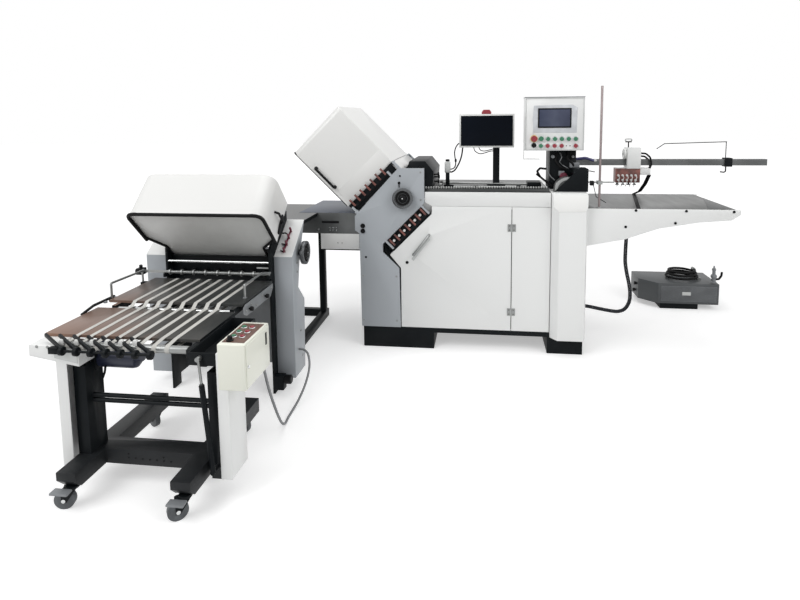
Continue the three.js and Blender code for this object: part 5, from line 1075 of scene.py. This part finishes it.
strap = sheet_cut([(1586, 330), (1610, 330), (1467, -345), (1443, -345)], "z", feed_top, 915, 0.3)
band = sheet_cut([(-34, 1086.8), (-28, 1086.8), (60, 1020), (180, 955), (328, 917), (328, 915.2), (178, 952),
                  (56, 1016)], "x", 1584, 1608, 0.4)
fit("table_strap", body="separator", rubber=[strap, band])
print("separator dressed")

# %% Wire guide, feed table, brackets and lay rod
lever = rod([(2060, -25, 1139), (2060, -25, 1110), (2050, -25, 1104), (2028, -25, 1107)], 4, 6)
fit("wire_guide_lever", body="guide_wire", black_plastic=lever)
corner_plate = sheet_cut([(1849, -347), (1999, -347), (1999, 157)], "z", feed_top, 914.4, 0.2)
fit("feed_table_end", dark_steel=corner_plate)
bolts = [screw_head(x, -360, z, 8, 5) for x, z in ((1436, 906), (1721, 905), (1985, 903), (1380, 806), (1662, 832))]
fit("bracket_bolts", black_plastic=bolts)
lay_rod = turned([(0, 914), (7, 914.2), (7, 1642), (6, 1643.5)], "z", (1229, -331, 0), 18)
fit("lay_rod", rod_brown=lay_rod)
hose = rod([(1116, -60, 1190), (1190, -60, 1198), (1244, -56, 1180)], 9, 20)
tip = turned([(9.5, 1244), (8, 1256), (4, 1262)], "x", (0, -56, 1180), 16)
fit("blue_hose", hose_blue=hose, white_plastic=tip)
print("feeder dressed")

# %% [markdown]
# ## Tower
# Hoses, a valve block and small fittings crowd the front of the tower above the suction drum. The hoses are held
# at both ends, so they are bent rods. The drum has a dark face with bolts.
# %% Tower fittings and drum face
hoses = [rod([(950, -180, 1041), (893, -184, 1086), (872, -186, 1122), (890, -184, 1142), (930, -178, 1137)], 7, 14),
         rod([(868, -170, 1104), (968, -196, 1028)], 6),
         rod([(988, -186, 1236), (982, -204, 1190), (1010, -206, 1150), (1050, -190, 1136)], 8, 20),
         rod([(1060, -186, 1246), (1052, -210, 1204), (1088, -208, 1172), (1100, -190, 1140)], 7, 20)]
light = [rod([(934, -200, 1154), (936, -204, 1119), (955, -204, 1090), (980, -200, 1068)], 3.4, 12),
         rod([(1027, -196, 1163), (1044, -206, 1152), (1062, -196, 1142)], 2.6, 6),
         rod([(1010, -190, 1240), (1020, -214, 1214), (1006, -210, 1184), (1022, -190, 1166)], 2.6, 10)]
wall = -176.6
metal = [block((1070, -206, 1148), (1130, wall, 1178), 2), block((1004, -196, 1096), (1040, wall, 1126), 2),
         turned([(0, -214), (9, -213), (11, -210), (11, -196), (6, -194), (6, wall)], "y", (966, 0, 1216), 18),
         turned([(0, -208), (7, -207), (8, -204), (8, wall)], "y", (1090, 0, 1216), 16)]
dark = [block((1176.5, -318, 1048), (1200, -290, 1076), 3),
        rod([(1196, -300, 1060), (1216, -300, 978), (1276, -290, 941)], 2.2, 8),
        rod([(1150, -199, 1128), (1196, -199, 1126), (1224, -199, 1120)], 3, 6)]
fit("tower_hoses", rubber=[*hoses, *dark], grey_cable=light, cast_grey=metal)
knob = turned([(20, -204), (24, -200), (24, -184)], "y", (1035, 0, 1092), 24)
fit("tower_red_knob", wine_plastic=knob)
face = turned([(14, -302), (62, -302), (64, -300), (14, -300)], "y", (1050, 0, 1016), 36, ring=True)
bolts = [turned([(0, -304.6), (4, -304.4), (4.6, -302.2)], "y", (x, 0, z), 12)
         for x, z in wrap(1050, 1016, 50, 0, 300, 5)]
fit("drum_face", body="drum", dark_steel=face, chrome=bolts)
print("tower dressed")

# %% [markdown]
# ## Pump
# Cooling ribs run along the pump's front, with a bare plate among them and a regulator beside the lid. The
# regulator is one lathe part, because all its steps share an axis.
# %% Ribs, plate, regulator and knobs
ribs = [block((1882, 566.6, 62 + 8.6 * i), (2284, 569.7, 66 + 8.6 * i), 1) for i in range(14)]
fit("pump_ribs", cast_grey=ribs)
stem = turned([(20, 212.4), (21, 216), (15, 220), (15, 246), (21, 248), (22, 262), (17, 270), (12, 272),
               (11, 300), (14, 303), (14, 316), (6, 322), (5, 337), (0, 338)], "z", (2263, 590, 0), 24)
elbow = rod([(2263, 590, 232), (2300, 590, 236), (2318, 592, 262), (2322, 596, 290)], 8, 14)
fit("pump_plate", pale_plate=block((2034, 564, 110), (2096, 566.4, 136), 0.5), cast_grey=stem, rubber=elbow)
caps = [turned([(10, 1722), (13, 1725), (13, 1738), (8, 1740), (8, 1746)], "x", (0, y, z), 18)
        for y, z in ((730, 150), (760, 88))]
fit("pump_knobs", black_plastic=caps)
print("pump dressed")

# %% [markdown]
# ## Back of the machine
# The back has what such a machine needs there: two screwed service covers, a louvred one for the motor, and a
# gland plate with a capped mains inlet.
# %% Service covers, louvres and inlet
covers = [block((left, 366.2, 190), (right, 369, 840), 3) for left, right in ((60, 450), (478, 900))]
heads = [turned([(2.5, 371.4), (4.5, 370.68), (5, 369.2)], "y", (x, 0, z), 16)
         for x in (76, 434, 494, 884) for z in (206, 515, 824)]
fit("rear_covers", white_paint=covers, brushed=heads)
vents = [block((560, 369.1, 560 + 18 * i), (820, 376, 570 + 18 * i), 1.2) for i in range(10)]
fit("rear_louvres", black_plastic=vents)
inlet = turned([(24, 412), (27, 409), (27, 396), (24, 394), (24, 376.2)], "y", (600, 0, 285), 28)
plug = turned([(14, 398), (15, 396), (15, 376.2)], "y", (664, 0, 285), 20)
fit("rear_gland_plate", cast_grey=block((560, 369.1, 240), (700, 376, 330), 2), black_plastic=inlet, rubber=plug)
print("back dressed")
